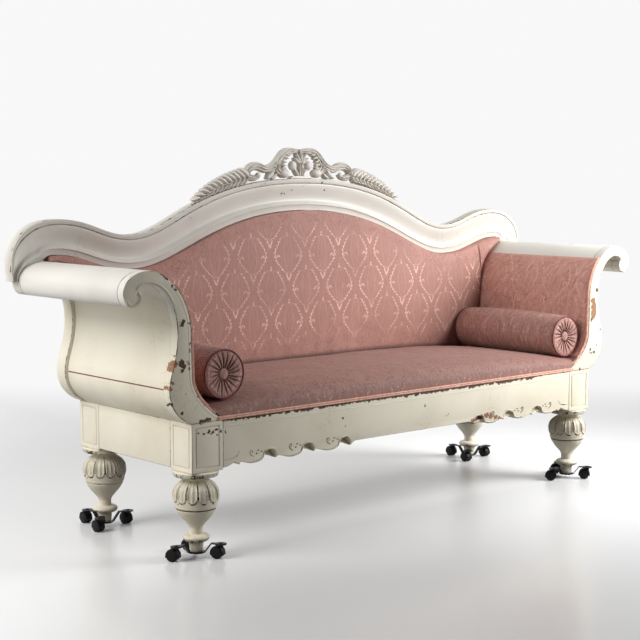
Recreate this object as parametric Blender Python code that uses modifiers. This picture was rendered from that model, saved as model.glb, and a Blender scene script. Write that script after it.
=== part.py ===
# Scroll-arm sofa with a serpentine show-wood back, standing on castor dollies.
# Metres, +Z up. +X runs along the sofa, the front faces -Y, and the floor is z = 0.
from math import atan2, copysign, cos, hypot, pi, radians, sin, sqrt

import bmesh
import bpy
import numpy as np
from mathutils import Matrix, Vector
from mathutils.bvhtree import BVHTree

GAP = 0.0003  # clearance between pieces that touch

# Castors: twin wheels under a hood, on a stem that swivels in the dolly's plate
WHEEL_RADIUS = 0.017
WHEEL_WIDTH = 0.0085
WHEEL_SPACING = 0.006  # between the inner faces of the two wheels
WHEEL_CLEARANCE = 0.0008
WHEEL_SIDES = 16
AXLE_RADIUS = 0.0025
HOOD_WALL = 0.0017
HOOD_SKIRT = 0.006  # how far the hood reaches below the axle
CASTOR_TRAIL = 0.0095
BOSS_RADIUS = 0.007
BOSS_HEIGHT = 0.003  # above the hood's top
STEM_RADIUS = 0.004
RIVET_RADIUS = 0.0065
RIVET_HEIGHT = 0.002

# Dollies: a pressed steel dish with three bent arms, each ending in a round plate
DOLLY_ARMS = 3
DOLLY_REACH = 0.072  # from the foot's axis to a castor's stem
DOLLY_STEEL = 0.003
DOLLY_DROP = 0.0265  # from the top of the plates to the top of the dish
DISH_RADIUS = 0.025
STRAP_WIDTH = 0.016
STRAP_STEEL = 0.0026
STRAP_RUN = 0.019  # level length over which a strap climbs
PLATE_RADIUS = 0.017
DOLLY_TURN = {"front_left": 184, "front_right": 182, "rear_left": 105, "rear_right": 100}
CASTOR_HEADING = {"front_left": 122, "front_right": 125, "rear_left": 92, "rear_right": 88}

# Turned feet
FOOT_HEIGHT = 0.2304
FOOT_INSET_X = 0.0495
FOOT_INSET_Y = 0.0518
STUB_RADIUS = 0.021
STUB_HEIGHT = 0.029
RING_RADIUS = 0.038
RING_HEIGHT = 0.022
WAIST_RADIUS = 0.019
WAIST_HEIGHT = 0.065
BULB_RADIUS = 0.063
BULB_HEIGHT = 0.156
THROAT_RADIUS = 0.029
THROAT_HEIGHT = 0.209
SHOULDER_SLOPE = 35  # degrees below level, where the bulb leaves the throat
COLLAR_RADIUS = 0.0635
COLLAR_THICKNESS = 0.015
FOOT_SIDES = 16

# Base: corner blocks and seat rails
BASE_LENGTH = 1.710
BASE_DEPTH = 0.569
BLOCK_WIDTH = 0.106
BLOCK_DEPTH = 0.1016
BLOCK_HEIGHT = 0.139
BLOCK_FRAME_INSET = 0.018
BLOCK_GROOVE = 0.003
RAIL_THICKNESS = 0.028
FRONT_RAIL_HEIGHT = 0.118
END_RAIL_HEIGHT = 0.134
APRON_WAVES = 3
APRON_PITCH = 0.144
APRON_FIRST = 0.169  # from the block to the top of the first hollow
APRON_DROP = 0.0165  # of a wave below the straight edge
APRON_ARCH = 0.015  # of a hollow above the straight edge
APRON_HOLLOW = 0.042  # width of a hollow
APRON_LOBE = 0.011
APRON_LEAF = 0.058  # length of the leaf beside the block
APRON_TIP = 0.014

# Scroll arms: sizes run out from the base's end face and up from its top
SCROLL_THICKNESS = 0.030
REAR_SCROLL_THICKNESS = 0.0465
REAR_OVERHANG = 0.011
ARM_TOE = 0.096
ARM_TOE_HEIGHT = 0.010
ARM_BULGE_OUT = 0.072
ARM_BULGE_UP = 0.096
ARM_HOLLOW_UP = 0.130
ARM_NECK_OUT = 0.043
ARM_NECK_UP = 0.250
ARM_NECK_WIDTH = 0.044
ARM_LEAN = 0.003  # how much the seat edge leans out from the hollow to the neck
ARM_CROWN_OUT = 0.135
ARM_RISE = 0.4245
ARM_PLANK = 0.036
ARM_REACH = 0.215
SCROLL_HEAD_WIDTH = 0.059
SCROLL_HEAD_DEPTH = 0.095  # from the crown down to the underside of the head
SCROLL_HEAD_UP = 0.3685
SCROLL_NOTCH_OUT = 0.1674
SCROLL_NOTCH_UP = 0.371
PANEL_RECESS = 0.010
PANEL_THICKNESS = 0.012
LOWER_BOARD_THICKNESS = 0.016
ARM_PAD_UP = 0.384
ARM_PAD_CROWN = 0.010
ARM_PAD_DEPTH = 0.012

# Back frame: heights are above the crown of the arms
BACK_THICKNESS = 0.0455
BACK_FACE = 0.105
BACK_CENTRE_RISE = 0.2372
BACK_DIP_RISE = 0.0692
BACK_SHOULDER_RISE = 0.1212
BACK_DIP_INSET = 0.409  # from the frame's end to the low part of its top
BACK_SHOULDER_INSET = 0.154
BACK_END_LIP = 0.024
BACK_COVE = 0.015
BACK_FILLET = 0.004
BACK_INNER_FILLET = 0.007
LINING_THICKNESS = 0.004

# Crest carving: heights are above the middle of the back frame
CREST_THICKNESS = 0.022
CREST_RISE = 0.101
CREST_SPREAD = 0.450
CREST_FOOT = 0.055
CREST_SPRAY = 0.270  # the sprays lie on the frame from here outward
CREST_EYE_X = 0.043
CREST_EYE_UP = 0.050
CREST_EYE_WIDTH = 0.036
CREST_EYE_HEIGHT = 0.064
CREST_LOOP_X = 0.166
CREST_LOOP_UP = 0.024
CREST_LOOP_WIDTH = 0.030
CREST_LOOP_HEIGHT = 0.016

# Upholstery
WEBBING_THICKNESS = 0.002
WEBBING_INSET = 0.012
WEBBING_LONG = 4
WEBBING_CROSS = 8
WEBBING_STRAP = 0.060
SEAT_HEIGHT = 0.074
SEAT_FRONT_EDGE = 0.018
SEAT_FRONT_ROLL = 0.070
SEAT_SIDE_FALL = 0.036
SEAT_REAR_FALL = 0.007
SEAT_INSET = 0.060  # from the base's end face to the end of the seat pad
BACK_PAD_RIM = 0.046  # from the front of the lining to the pad's rim
BACK_PAD_CROWN = 0.028
BACK_PAD_EDGE = 0.020  # from the crown of the arm to the pad's end
PAD_LOOK_AHEAD = 0.003  # room kept between a pad's edge and the arm beside it
BOLSTER_RADIUS = 0.0655
BOLSTER_LENGTH = 0.465
BOLSTER_LEFT_INSET = 0.129  # from the base's end face to the bolster's middle
BOLSTER_RIGHT_INSET = 0.087
BOLSTER_BUTTON = 0.015
BOLSTER_DISH = 0.007
BOLSTER_PLEATS = 18
BOLSTER_PLEAT_DEPTH = 0.004

UP = (0.0, 1.0)
DOWN = (0.0, -1.0)
OUT = (1.0, 0.0)
INWARD = (-1.0, 0.0)

# Heights that stack up from the floor
AXLE_Z = WHEEL_RADIUS * cos(pi / WHEEL_SIDES)
POCKET_RADIUS = WHEEL_RADIUS + WHEEL_CLEARANCE
HOOD_RADIUS = POCKET_RADIUS + HOOD_WALL
PLATE_BOTTOM = AXLE_Z + HOOD_RADIUS + BOSS_HEIGHT + GAP
PLATE_TOP = PLATE_BOTTOM + DOLLY_STEEL
DISH_TOP = PLATE_TOP - DOLLY_DROP
FOOT_BOTTOM = DISH_TOP + GAP
BLOCK_BOTTOM = FOOT_BOTTOM + FOOT_HEIGHT + GAP
BLOCK_TOP = BLOCK_BOTTOM + BLOCK_HEIGHT
ARM_BASE = BLOCK_TOP + GAP
ARM_TOP = ARM_BASE + ARM_RISE
WEBBING_TOP = BLOCK_TOP + GAP + WEBBING_THICKNESS
SEAT_BOTTOM = WEBBING_TOP + GAP

# Places along X and Y
HALF_LENGTH = BASE_LENGTH / 2
HALF_DEPTH = BASE_DEPTH / 2
FRONT_Y = -HALF_DEPTH
BACK_Y = HALF_DEPTH + REAR_OVERHANG
REAR_SCROLL_Y = BACK_Y - REAR_SCROLL_THICKNESS
ARM_FRONT_Y = FRONT_Y + SCROLL_THICKNESS + GAP
ARM_REAR_Y = REAR_SCROLL_Y - GAP
BACK_FRONT_Y = BACK_Y - BACK_THICKNESS
LINING_Y = HALF_DEPTH + GAP
PAD_REAR_Y = LINING_Y - GAP
PAD_RIM_Y = PAD_REAR_Y - BACK_PAD_RIM
SEAT_REAR_Y = PAD_RIM_Y - BACK_PAD_CROWN - GAP
INNER_X = HALF_LENGTH - BLOCK_WIDTH
SEAT_END_X = HALF_LENGTH - SEAT_INSET
BOLSTER_X = {"left": BOLSTER_LEFT_INSET - HALF_LENGTH, "right": HALF_LENGTH - BOLSTER_RIGHT_INSET}
CORNERS = {
    "front_left": (-1, -1),
    "front_right": (1, -1),
    "rear_left": (-1, 1),
    "rear_right": (1, 1),
}
SIDES = {"left": -1, "right": 1}

for leftover in list(bpy.data.objects):
    bpy.data.objects.remove(leftover)

sofa = bpy.data.collections.new("scroll_arm_sofa")
bpy.context.scene.collection.children.link(sofa)
origin = bpy.data.objects.new("sofa_origin", None)
sofa.objects.link(origin)


def finish(name, colour, roughness, metallic=0.0):
    material = bpy.data.materials.new(name)
    material.use_nodes = True
    shader = material.node_tree.nodes["Principled BSDF"]
    shader.inputs["Base Color"].default_value = (*colour, 1.0)
    shader.inputs["Roughness"].default_value = roughness
    shader.inputs["Metallic"].default_value = metallic
    return material


PAINT = finish("cream_paint", (0.72, 0.68, 0.58), 0.45)
DAMASK = finish("rose_damask", (0.40, 0.19, 0.17), 0.70)
STEEL = finish("black_steel", (0.02, 0.02, 0.02), 0.35, 0.6)
PLASTIC = finish("black_plastic", (0.015, 0.015, 0.016), 0.45)
JUTE = finish("jute_webbing", (0.38, 0.29, 0.17), 0.90)
LINEN = finish("linen_lining", (0.45, 0.36, 0.29), 0.90)


# Helpers for outlines, which are lists of (across, up) pairs
def bend(start, leave, end, arrive, pulls=(0.55, 0.55)):
    # A cubic curve with a set direction at each end; a pull is a share of the span.
    span = (end[0] - start[0], end[1] - start[1])
    first = pulls[0] * abs(span[0] * leave[0] + span[1] * leave[1])
    last = pulls[1] * abs(span[0] * arrive[0] + span[1] * arrive[1])
    anchors = (
        start,
        (start[0] + leave[0] * first, start[1] + leave[1] * first),
        (end[0] - arrive[0] * last, end[1] - arrive[1] * last),
        end,
    )

    def at(t):
        weights = ((1 - t) ** 3, 3 * t * (1 - t) ** 2, 3 * t * t * (1 - t), t**3)
        return tuple(sum(w * p[k] for w, p in zip(weights, anchors)) for k in (0, 1))

    return at


def trace(curve, steps, first=0.0, last=1.0):
    return [curve(first + (last - first) * i / steps) for i in range(steps + 1)]


def solve(test, low=0.0, high=1.0):
    # The place where a rising test crosses zero.
    for _ in range(40):
        middle = (low + high) / 2
        if test(middle) < 0:
            low = middle
        else:
            high = middle
    return low


def left_normals(points):
    ahead = points[1:] + points[-1:]
    behind = points[:1] + points[:-1]
    normals = []
    for a, b in zip(ahead, behind):
        run = (a[0] - b[0], a[1] - b[1])
        length = hypot(*run)
        normals.append((-run[1] / length, run[0] / length))
    return normals


def moved_left(points, amounts):
    # The outline moved to the left of its own direction, by one amount or one for each point.
    if not isinstance(amounts, (list, tuple)):
        amounts = [amounts] * len(points)
    normals = left_normals(points)
    return [(p[0] + n[0] * d, p[1] + n[1] * d) for p, n, d in zip(points, normals, amounts)]


def ellipse(centre, width, height, steps):
    turns = [2 * pi * i / steps for i in range(steps)]
    return [(centre[0] + width / 2 * cos(t), centre[1] + height / 2 * sin(t)) for t in turns]


def round_hole(centre, radius, steps):
    # A polygon that clears a full circle of the given radius.
    across = 2 * radius / cos(pi / steps)
    return ellipse(centre, across, across, steps)


# Helpers for solids
def tidy(mesh, matrix=None):
    if matrix is not None:
        mesh.transform(matrix)
    shape = bmesh.new()
    shape.from_mesh(mesh)
    bmesh.ops.remove_doubles(shape, verts=shape.verts, dist=1e-6)
    bmesh.ops.recalc_face_normals(shape, faces=shape.faces)
    shape.to_mesh(mesh)
    shape.free()
    return mesh


def baked(data, matrix=None, modifiers=()):
    # The mesh of a curve, or of a mesh with modifiers, as Blender evaluates it.
    helper = bpy.data.objects.new("helper", data)
    bpy.context.scene.collection.objects.link(helper)
    for kind, settings in modifiers:
        modifier = helper.modifiers.new(kind.lower(), kind)
        for key, value in settings.items():
            setattr(modifier, key, value)
    graph = bpy.context.evaluated_depsgraph_get()
    mesh = bpy.data.meshes.new_from_object(helper.evaluated_get(graph))
    bpy.data.objects.remove(helper)
    return tidy(mesh, matrix)


def plate(outlines, low_y, high_y):
    # A board cut to an outline in XZ, with any further outlines as holes.
    curve = bpy.data.curves.new("outline", "CURVE")
    curve.dimensions = "2D"
    curve.fill_mode = "BOTH"
    curve.extrude = (high_y - low_y) / 2
    for points in outlines:
        spline = curve.splines.new("POLY")
        spline.points.add(len(points) - 1)
        for corner, (x, z) in zip(spline.points, points):
            corner.co = (x, z, 0.0, 1.0)
        spline.use_cyclic_u = True
    upright = Matrix.Translation((0, (low_y + high_y) / 2, 0)) @ Matrix.Rotation(pi / 2, 4, "X")
    return baked(curve, upright)


def turned(profile, sides, matrix=None):
    # A profile of (radius, height) pairs, top to bottom, turned about Z.
    mesh = bpy.data.meshes.new("turned")
    points = [(radius, 0.0, height) for radius, height in profile]
    mesh.from_pydata(points, [(i, i + 1) for i in range(len(points) - 1)], [])
    screw = {
        "steps": sides,
        "render_steps": sides,
        "use_merge_vertices": True,
        "merge_threshold": 1e-5,
        "use_smooth_shade": True,
    }
    return baked(mesh, matrix, [("SCREW", screw)])


def box(low, high):
    shape = bmesh.new()
    centre = [(a + b) / 2 for a, b in zip(low, high)]
    sizes = [b - a for a, b in zip(low, high)]
    matrix = Matrix.Translation(centre) @ Matrix.Diagonal((*sizes, 1.0))
    bmesh.ops.create_cube(shape, size=1.0, matrix=matrix)
    mesh = bpy.data.meshes.new("box")
    shape.to_mesh(mesh)
    shape.free()
    return mesh


def combined(mesh, others):
    # Booleans in order: others holds (mesh, "UNION" or "DIFFERENCE").
    helpers = []
    steps = []
    for other, operation in others:
        helper = bpy.data.objects.new("operand", other)
        bpy.context.scene.collection.objects.link(helper)
        helpers.append(helper)
        steps.append(("BOOLEAN", {"object": helper, "operation": operation}))
    mesh = baked(mesh, None, steps)
    for helper in helpers:
        bpy.data.objects.remove(helper)
    return mesh


def lofted(sections):
    # Skins a row of closed sections that have the same number of points.
    shape = bmesh.new()
    rings = [[shape.verts.new(point) for point in section] for section in sections]
    count = len(sections[0])
    for ring, following in zip(rings, rings[1:]):
        for i in range(count):
            j = (i + 1) % count
            shape.faces.new((ring[i], ring[j], following[j], following[i]))
    shape.faces.new(rings[0])
    shape.faces.new(rings[-1])
    mesh = bpy.data.meshes.new("loft")
    shape.to_mesh(mesh)
    shape.free()
    return tidy(mesh)


def padded(columns, rows, face, rear):
    # A pad on a grid: face and rear give a point for a column and a share of the way up it.
    shape = bmesh.new()
    bmesh.ops.create_grid(shape, x_segments=columns, y_segments=rows, size=1.0)
    cells = {v: (round((v.co.x + 1) / 2 * columns), (v.co.y + 1) / 2) for v in shape.verts}
    grown = bmesh.ops.extrude_face_region(shape, geom=shape.faces[:], use_keep_orig=True)
    copies = [v for v in grown["geom"] if isinstance(v, bmesh.types.BMVert)]
    for copy in copies:
        copy.co = rear(round((copy.co.x + 1) / 2 * columns), (copy.co.y + 1) / 2)
    for vert, (column, share) in cells.items():
        vert.co = face(column, share)
    mesh = bpy.data.meshes.new("pad")
    shape.to_mesh(mesh)
    shape.free()
    return tidy(mesh)


def place(name, mesh, material, parent=None, location=(0, 0, 0), turn=0.0, smooth=None):
    part = bpy.data.objects.new(name, mesh)
    sofa.objects.link(part)
    if not mesh.materials:
        mesh.materials.append(material)
    if smooth is not None:
        mesh.shade_smooth()
        mesh.set_sharp_from_angle(angle=radians(smooth))
    part.parent = parent or origin
    part.location = location
    part.rotation_euler = (0.0, 0.0, radians(turn))
    return part


# Castors and dollies
def castor_mesh():
    skirt = [(-HOOD_RADIUS, -HOOD_SKIRT), (HOOD_RADIUS, -HOOD_SKIRT)]
    spread = np.linspace(0.0, pi, 8)
    arch = [(HOOD_RADIUS * cos(t), HOOD_RADIUS * sin(t)) for t in spread]
    outline = [(CASTOR_TRAIL + x, AXLE_Z + z) for x, z in skirt + arch]
    half = WHEEL_SPACING / 2 + WHEEL_WIDTH - GAP
    hood = plate([outline], -half, half)
    head = PLATE_TOP + GAP
    stem = turned(
        [
            (0.0, head + RIVET_HEIGHT),
            (RIVET_RADIUS * 0.7, head + RIVET_HEIGHT),
            (RIVET_RADIUS, head),
            (STEM_RADIUS, head),
            (STEM_RADIUS, PLATE_BOTTOM - GAP),
            (BOSS_RADIUS, PLATE_BOTTOM - GAP),
            (BOSS_RADIUS, AXLE_Z),
            (0.0, AXLE_Z),
        ],
        6,
    )
    web = WHEEL_SPACING / 2 - WHEEL_CLEARANCE
    far = half + WHEEL_WIDTH
    pocket = round_hole((CASTOR_TRAIL, AXLE_Z), POCKET_RADIUS, 12)
    bore = round_hole((CASTOR_TRAIL, AXLE_Z), AXLE_RADIUS + GAP, 6)
    return combined(
        hood,
        [
            (stem, "UNION"),
            (plate([pocket], web, far), "DIFFERENCE"),
            (plate([pocket], -far, -web), "DIFFERENCE"),
            (plate([bore], -far, far), "DIFFERENCE"),
        ],
    )


def wheels_mesh():
    inner = WHEEL_SPACING / 2
    outer = inner + WHEEL_WIDTH
    half = [(0.0, outer), (WHEEL_RADIUS, outer), (WHEEL_RADIUS, inner), (AXLE_RADIUS, inner)]
    profile = half + [(radius, -height) for radius, height in reversed(half)]
    flat_down = Matrix.Rotation(pi / WHEEL_SIDES, 4, "Y")
    return turned(profile, WHEEL_SIDES, flat_down @ Matrix.Rotation(-pi / 2, 4, "X"))


def dolly_mesh():
    middle = PLATE_TOP - DOLLY_STEEL / 2
    low = middle - DOLLY_DROP
    climb = DISH_RADIUS + STRAP_RUN
    line = [
        (DISH_RADIUS * 0.6, low),
        (DISH_RADIUS, low),
        (climb, middle),
        (DOLLY_REACH - PLATE_RADIUS * 0.5, middle),
    ]
    strap_outline = moved_left(line, STRAP_STEEL / 2) + moved_left(line, -STRAP_STEEL / 2)[::-1]
    steps = []
    for arm in range(DOLLY_ARMS):
        turn = Matrix.Rotation(2 * pi * arm / DOLLY_ARMS, 4, "Z")
        strap = plate([strap_outline], -STRAP_WIDTH / 2, STRAP_WIDTH / 2)
        strap.transform(turn)
        reach = turn @ Matrix.Translation((DOLLY_REACH, 0, 0))
        disc = [(0, PLATE_TOP), (PLATE_RADIUS, PLATE_TOP), (PLATE_RADIUS, PLATE_BOTTOM), (0, PLATE_BOTTOM)]
        hole_radius = (STEM_RADIUS + GAP) / cos(pi / 8)
        high = PLATE_TOP + DOLLY_STEEL
        deep = PLATE_BOTTOM - DOLLY_STEEL
        hole = [(0, high), (hole_radius, high), (hole_radius, deep), (0, deep)]
        steps.append((strap, "UNION"))
        steps.append((turned(disc, 12, reach), "UNION"))
        steps.append((turned(hole, 8, reach), "DIFFERENCE"))
    floor = DISH_TOP - DOLLY_STEEL
    dish = [(0, DISH_TOP), (DISH_RADIUS, DISH_TOP), (DISH_RADIUS, floor), (0, floor)]
    return combined(turned(dish, 12), steps)


def foot_mesh():
    # Collar, throat, petalled bulb, waist, ring and stub, from the top down.
    collar = FOOT_HEIGHT - COLLAR_THICKNESS
    edge = COLLAR_THICKNESS * 0.25
    profile = [(0.0, FOOT_HEIGHT), (COLLAR_RADIUS - edge, FOOT_HEIGHT)]
    profile += [(COLLAR_RADIUS, FOOT_HEIGHT - edge), (COLLAR_RADIUS, collar + edge)]
    profile += [(COLLAR_RADIUS - edge, collar)]
    bulb = (BULB_RADIUS, BULB_HEIGHT)
    waist = (WAIST_RADIUS, WAIST_HEIGHT)
    shoulder = (cos(radians(SHOULDER_SLOPE)), -sin(radians(SHOULDER_SLOPE)))
    profile += trace(bend((THROAT_RADIUS, THROAT_HEIGHT), shoulder, bulb, DOWN), 4)
    profile += trace(bend(bulb, DOWN, waist, DOWN, (0.60, 0.22)), 5)[1:]
    ring_top = STUB_HEIGHT + RING_HEIGHT
    rim = (RING_RADIUS, STUB_HEIGHT + RING_HEIGHT * 0.55)
    profile += trace(bend((WAIST_RADIUS, ring_top), OUT, rim, DOWN), 3)
    profile += trace(bend(rim, DOWN, (STUB_RADIUS, STUB_HEIGHT), INWARD), 2)[1:]
    profile += [(STUB_RADIUS, 0.0), (0.0, 0.0)]
    return turned(profile, FOOT_SIDES, Matrix.Translation((0, 0, FOOT_BOTTOM)))


def build_stands():
    castor = castor_mesh()
    wheels = wheels_mesh()
    dolly = dolly_mesh()
    foot = foot_mesh()
    for corner, (sx, sy) in CORNERS.items():
        x = sx * (HALF_LENGTH - FOOT_INSET_X)
        y = sy * (HALF_DEPTH - FOOT_INSET_Y)
        place("foot_" + corner, foot, PAINT, None, (x, y, 0), 0.0, 40)
        turn = DOLLY_TURN[corner]
        place("dolly_" + corner, dolly, STEEL, None, (x, y, 0), turn, 35)
        for arm in range(DOLLY_ARMS):
            angle = radians(turn) + 2 * pi * arm / DOLLY_ARMS
            stem = (x + DOLLY_REACH * cos(angle), y + DOLLY_REACH * sin(angle), 0)
            label = f"{corner}_{arm + 1}"
            swivel = place("castor_" + label, castor, PLASTIC, None, stem, CASTOR_HEADING[corner], 35)
            axle = (CASTOR_TRAIL, 0, AXLE_Z)
            place("wheels_" + label, wheels, PLASTIC, swivel, axle, 0.0, 35)


# Base
def block_mesh(sx, sy):
    # A block with a grooved frame on its front or rear face and on its end face.
    x = sx * (HALF_LENGTH - BLOCK_WIDTH / 2)
    y = sy * (HALF_DEPTH - BLOCK_DEPTH / 2)
    half = (BLOCK_WIDTH / 2, BLOCK_DEPTH / 2)
    mesh = box((x - half[0], y - half[1], BLOCK_BOTTOM), (x + half[0], y + half[1], BLOCK_TOP))
    shape = bmesh.new()
    shape.from_mesh(mesh)
    shape.faces.ensure_lookup_table()
    shown = [f for f in shape.faces if f.normal.x * sx > 0.9 or f.normal.y * sy > 0.9]
    for face in shown:
        bmesh.ops.inset_individual(shape, faces=[face], thickness=BLOCK_FRAME_INSET)
        bmesh.ops.inset_individual(shape, faces=[face], thickness=BLOCK_GROOVE, depth=-BLOCK_GROOVE)
        bmesh.ops.inset_individual(shape, faces=[face], thickness=BLOCK_GROOVE, depth=BLOCK_GROOVE)
    shape.to_mesh(mesh)
    shape.free()
    return tidy(mesh)


def apron_edge():
    # The carved lower edge from the block to where it runs straight, for the right half:
    # a leaf with a drooping tip, then waves that each roll up into a hollow.
    straight = BLOCK_TOP - FRONT_RAIL_HEIGHT
    end = INNER_X - GAP
    lift = (end - APRON_LEAF * 0.72, straight - APRON_TIP * 0.32)
    points = trace(bend((end, straight - APRON_TIP * 1.1), INWARD, lift, (-0.94, 0.34), (0.5, 0.4)), 4)
    points.append((end - APRON_LEAF, straight - APRON_TIP))
    start = (end - APRON_LEAF * 1.07, straight - APRON_TIP * 0.54)
    points.append(start)
    for wave in range(APRON_WAVES):
        top = (end - APRON_FIRST - wave * APRON_PITCH, straight + APRON_ARCH)
        belly = (top[0] + APRON_HOLLOW * 1.52, straight - APRON_DROP)
        rise = (top[0] + APRON_HOLLOW * 0.52, straight)
        lobe = (top[0] - APRON_HOLLOW * 0.48, straight - APRON_LOBE)
        points += trace(bend(start, INWARD, belly, INWARD, (0.4, 0.5)), 4)[1:]
        points += trace(bend(belly, INWARD, rise, UP, (0.75, 0.5)), 4)[1:]
        points += trace(bend(rise, UP, top, INWARD), 3)[1:]
        points += trace(bend(top, INWARD, lobe, DOWN, (0.6, 0.5)), 3)[1:]
        start = (lobe[0] - APRON_HOLLOW * 0.21, straight - APRON_LOBE * 0.55)
        points.append(start)
    return points + [(start[0] - APRON_HOLLOW * 0.29, straight)]


def build_base():
    for corner, (sx, sy) in CORNERS.items():
        place("corner_block_" + corner, block_mesh(sx, sy), PAINT)
    ends = INNER_X - GAP
    edge = apron_edge()
    mirrored = [(-x, z) for x, z in reversed(edge)]
    outline = [(-ends, BLOCK_TOP), (ends, BLOCK_TOP)] + edge + mirrored
    place("front_rail", plate([outline], FRONT_Y, FRONT_Y + RAIL_THICKNESS), PAINT)
    inner = HALF_DEPTH - RAIL_THICKNESS
    low = BLOCK_TOP - FRONT_RAIL_HEIGHT
    place("rear_rail", box((-ends, inner, low), (ends, HALF_DEPTH, BLOCK_TOP)), PAINT)
    run = HALF_DEPTH - BLOCK_DEPTH - GAP
    low = BLOCK_TOP - END_RAIL_HEIGHT
    for side, sign in SIDES.items():
        reach = sorted((sign * (HALF_LENGTH - RAIL_THICKNESS), sign * HALF_LENGTH))
        place("end_rail_" + side, box((reach[0], -run, low), (reach[1], run, BLOCK_TOP)), PAINT)


# Arms: outlines are (out, up) from the base's end face and the arm's foot
SEAT_NECK = ARM_NECK_OUT - ARM_NECK_WIDTH
NECK = (SEAT_NECK, ARM_NECK_UP)
CROWN = (ARM_CROWN_OUT, ARM_RISE)
HOLLOW_TOP = (ARM_CROWN_OUT, ARM_RISE - ARM_PLANK)
NOTCH = (SCROLL_NOTCH_OUT, SCROLL_NOTCH_UP)
TOE = (-ARM_TOE, ARM_TOE_HEIGHT)
BULGE = (ARM_BULGE_OUT, ARM_BULGE_UP)
OUTER_NECK = (ARM_NECK_OUT, ARM_NECK_UP)
TOE_SLOPE = (cos(radians(30)), sin(radians(30)))
FOOT_SLOPE = (cos(radians(20)), sin(radians(20)))
TO_HOLLOW = bend(TOE, TOE_SLOPE, (SEAT_NECK - ARM_LEAN, ARM_HOLLOW_UP), UP, (0.35, 0.42))
TO_CROWN = bend(NECK, UP, CROWN, OUT, (0.50, 0.50))
TO_BULGE = bend((0.0, 0.0), FOOT_SLOPE, BULGE, UP, (0.45, 0.47))
TO_NECK = bend(BULGE, UP, OUTER_NECK, UP, (0.29, 0.45))
TO_HOLLOW_TOP = bend(OUTER_NECK, UP, HOLLOW_TOP, OUT)
TO_NOTCH = bend(HOLLOW_TOP, OUT, NOTCH, DOWN)


def head_edge():
    # Round the scroll head, from the crown to the notch under the plank.
    widest = (ARM_REACH, SCROLL_HEAD_UP)
    bottom = (ARM_REACH - SCROLL_HEAD_WIDTH * 0.46, ARM_RISE - SCROLL_HEAD_DEPTH)
    inside = (ARM_REACH - SCROLL_HEAD_WIDTH, (SCROLL_HEAD_UP + bottom[1]) / 2 + 0.004)
    points = trace(bend(CROWN, OUT, widest, DOWN), 8)
    points += trace(bend(widest, DOWN, bottom, INWARD), 5)[1:]
    points += trace(bend(bottom, INWARD, inside, UP), 5)[1:]
    return points + trace(bend(inside, UP, NOTCH, OUT), 4)[1:]


PAD_END = solve(lambda t: TO_CROWN(t)[1] - ARM_PAD_UP)


def plank_cut():
    # Where the butt of the roll, square to the seat edge, meets the outer edge.
    here = TO_CROWN(PAD_END)
    ahead = TO_CROWN(PAD_END + 0.01)
    run = (ahead[0] - here[0], ahead[1] - here[1])

    def past(t):
        point = TO_HOLLOW_TOP(t)
        return (point[0] - here[0]) * run[0] + (point[1] - here[1]) * run[1]

    return solve(past)


ROLL_CUT = plank_cut()


def seat_edge(last=1.0):
    return trace(TO_HOLLOW, 8) + trace(TO_CROWN, 9, 0.0, last)


def scroll_outline():
    outer = trace(TO_BULGE, 6) + trace(TO_NECK, 7)[1:] + trace(TO_HOLLOW_TOP, 8)[1:]
    outer += trace(TO_NOTCH, 4)[1:-1]
    return [(-ARM_TOE, 0.0)] + seat_edge() + head_edge()[1:] + outer[::-1]


def roll_outline():
    top = trace(TO_CROWN, 4, PAD_END)
    under = trace(TO_HOLLOW_TOP, 4, ROLL_CUT) + trace(TO_NOTCH, 4)[1:-1]
    return top + head_edge()[1:] + under[::-1]


def panel_outline():
    edge = trace(TO_NECK, 6) + trace(TO_HOLLOW_TOP, 5, 0.0, ROLL_CUT - 0.04)[1:]
    face = moved_left(edge, PANEL_RECESS)
    rear = moved_left(edge, PANEL_RECESS + PANEL_THICKNESS)
    lift = GAP / 2
    face[0] = (face[0][0], ARM_BULGE_UP + lift)
    rear[0] = (rear[0][0], ARM_BULGE_UP + lift)
    return face + rear[::-1]


def lower_board_outline():
    edge = trace(TO_BULGE, 7)
    recess = [PANEL_RECESS * sqrt(i / 7) for i in range(8)]
    face = [(0.0, 0.0)] + moved_left(edge, recess)[1:]
    top = (face[-1][0] - LOWER_BOARD_THICKNESS, ARM_BULGE_UP - GAP / 2)
    face[-1] = (face[-1][0], top[1])
    heel = (LOWER_BOARD_THICKNESS / 4 - RAIL_THICKNESS, 0.0)
    return face + trace(bend(top, DOWN, heel, (-TOE_SLOPE[0], -TOE_SLOPE[1])), 6)


def pad_face():
    # The crowned surface of the arm's upholstery, from the toe to the plank.
    edge = seat_edge(PAD_END)
    share = [i / (len(edge) - 1) for i in range(len(edge))]
    return moved_left(edge, [ARM_PAD_CROWN * sin(pi * s) ** 0.6 for s in share])


def arm_pad_outline():
    edge = seat_edge(PAD_END)[:-1] + [TO_CROWN(PAD_END - 0.005)]
    last = len(edge) - 1
    deep = [-ARM_PAD_DEPTH * min(1.0, 0.15 + 2.2 * i / last) for i in range(last + 1)]
    face = pad_face()
    face[-1] = edge[-1]
    return face + moved_left(edge, deep)[::-1]


def at_arm(points, sign):
    return [(sign * (HALF_LENGTH + out), ARM_BASE + up) for out, up in points]


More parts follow.
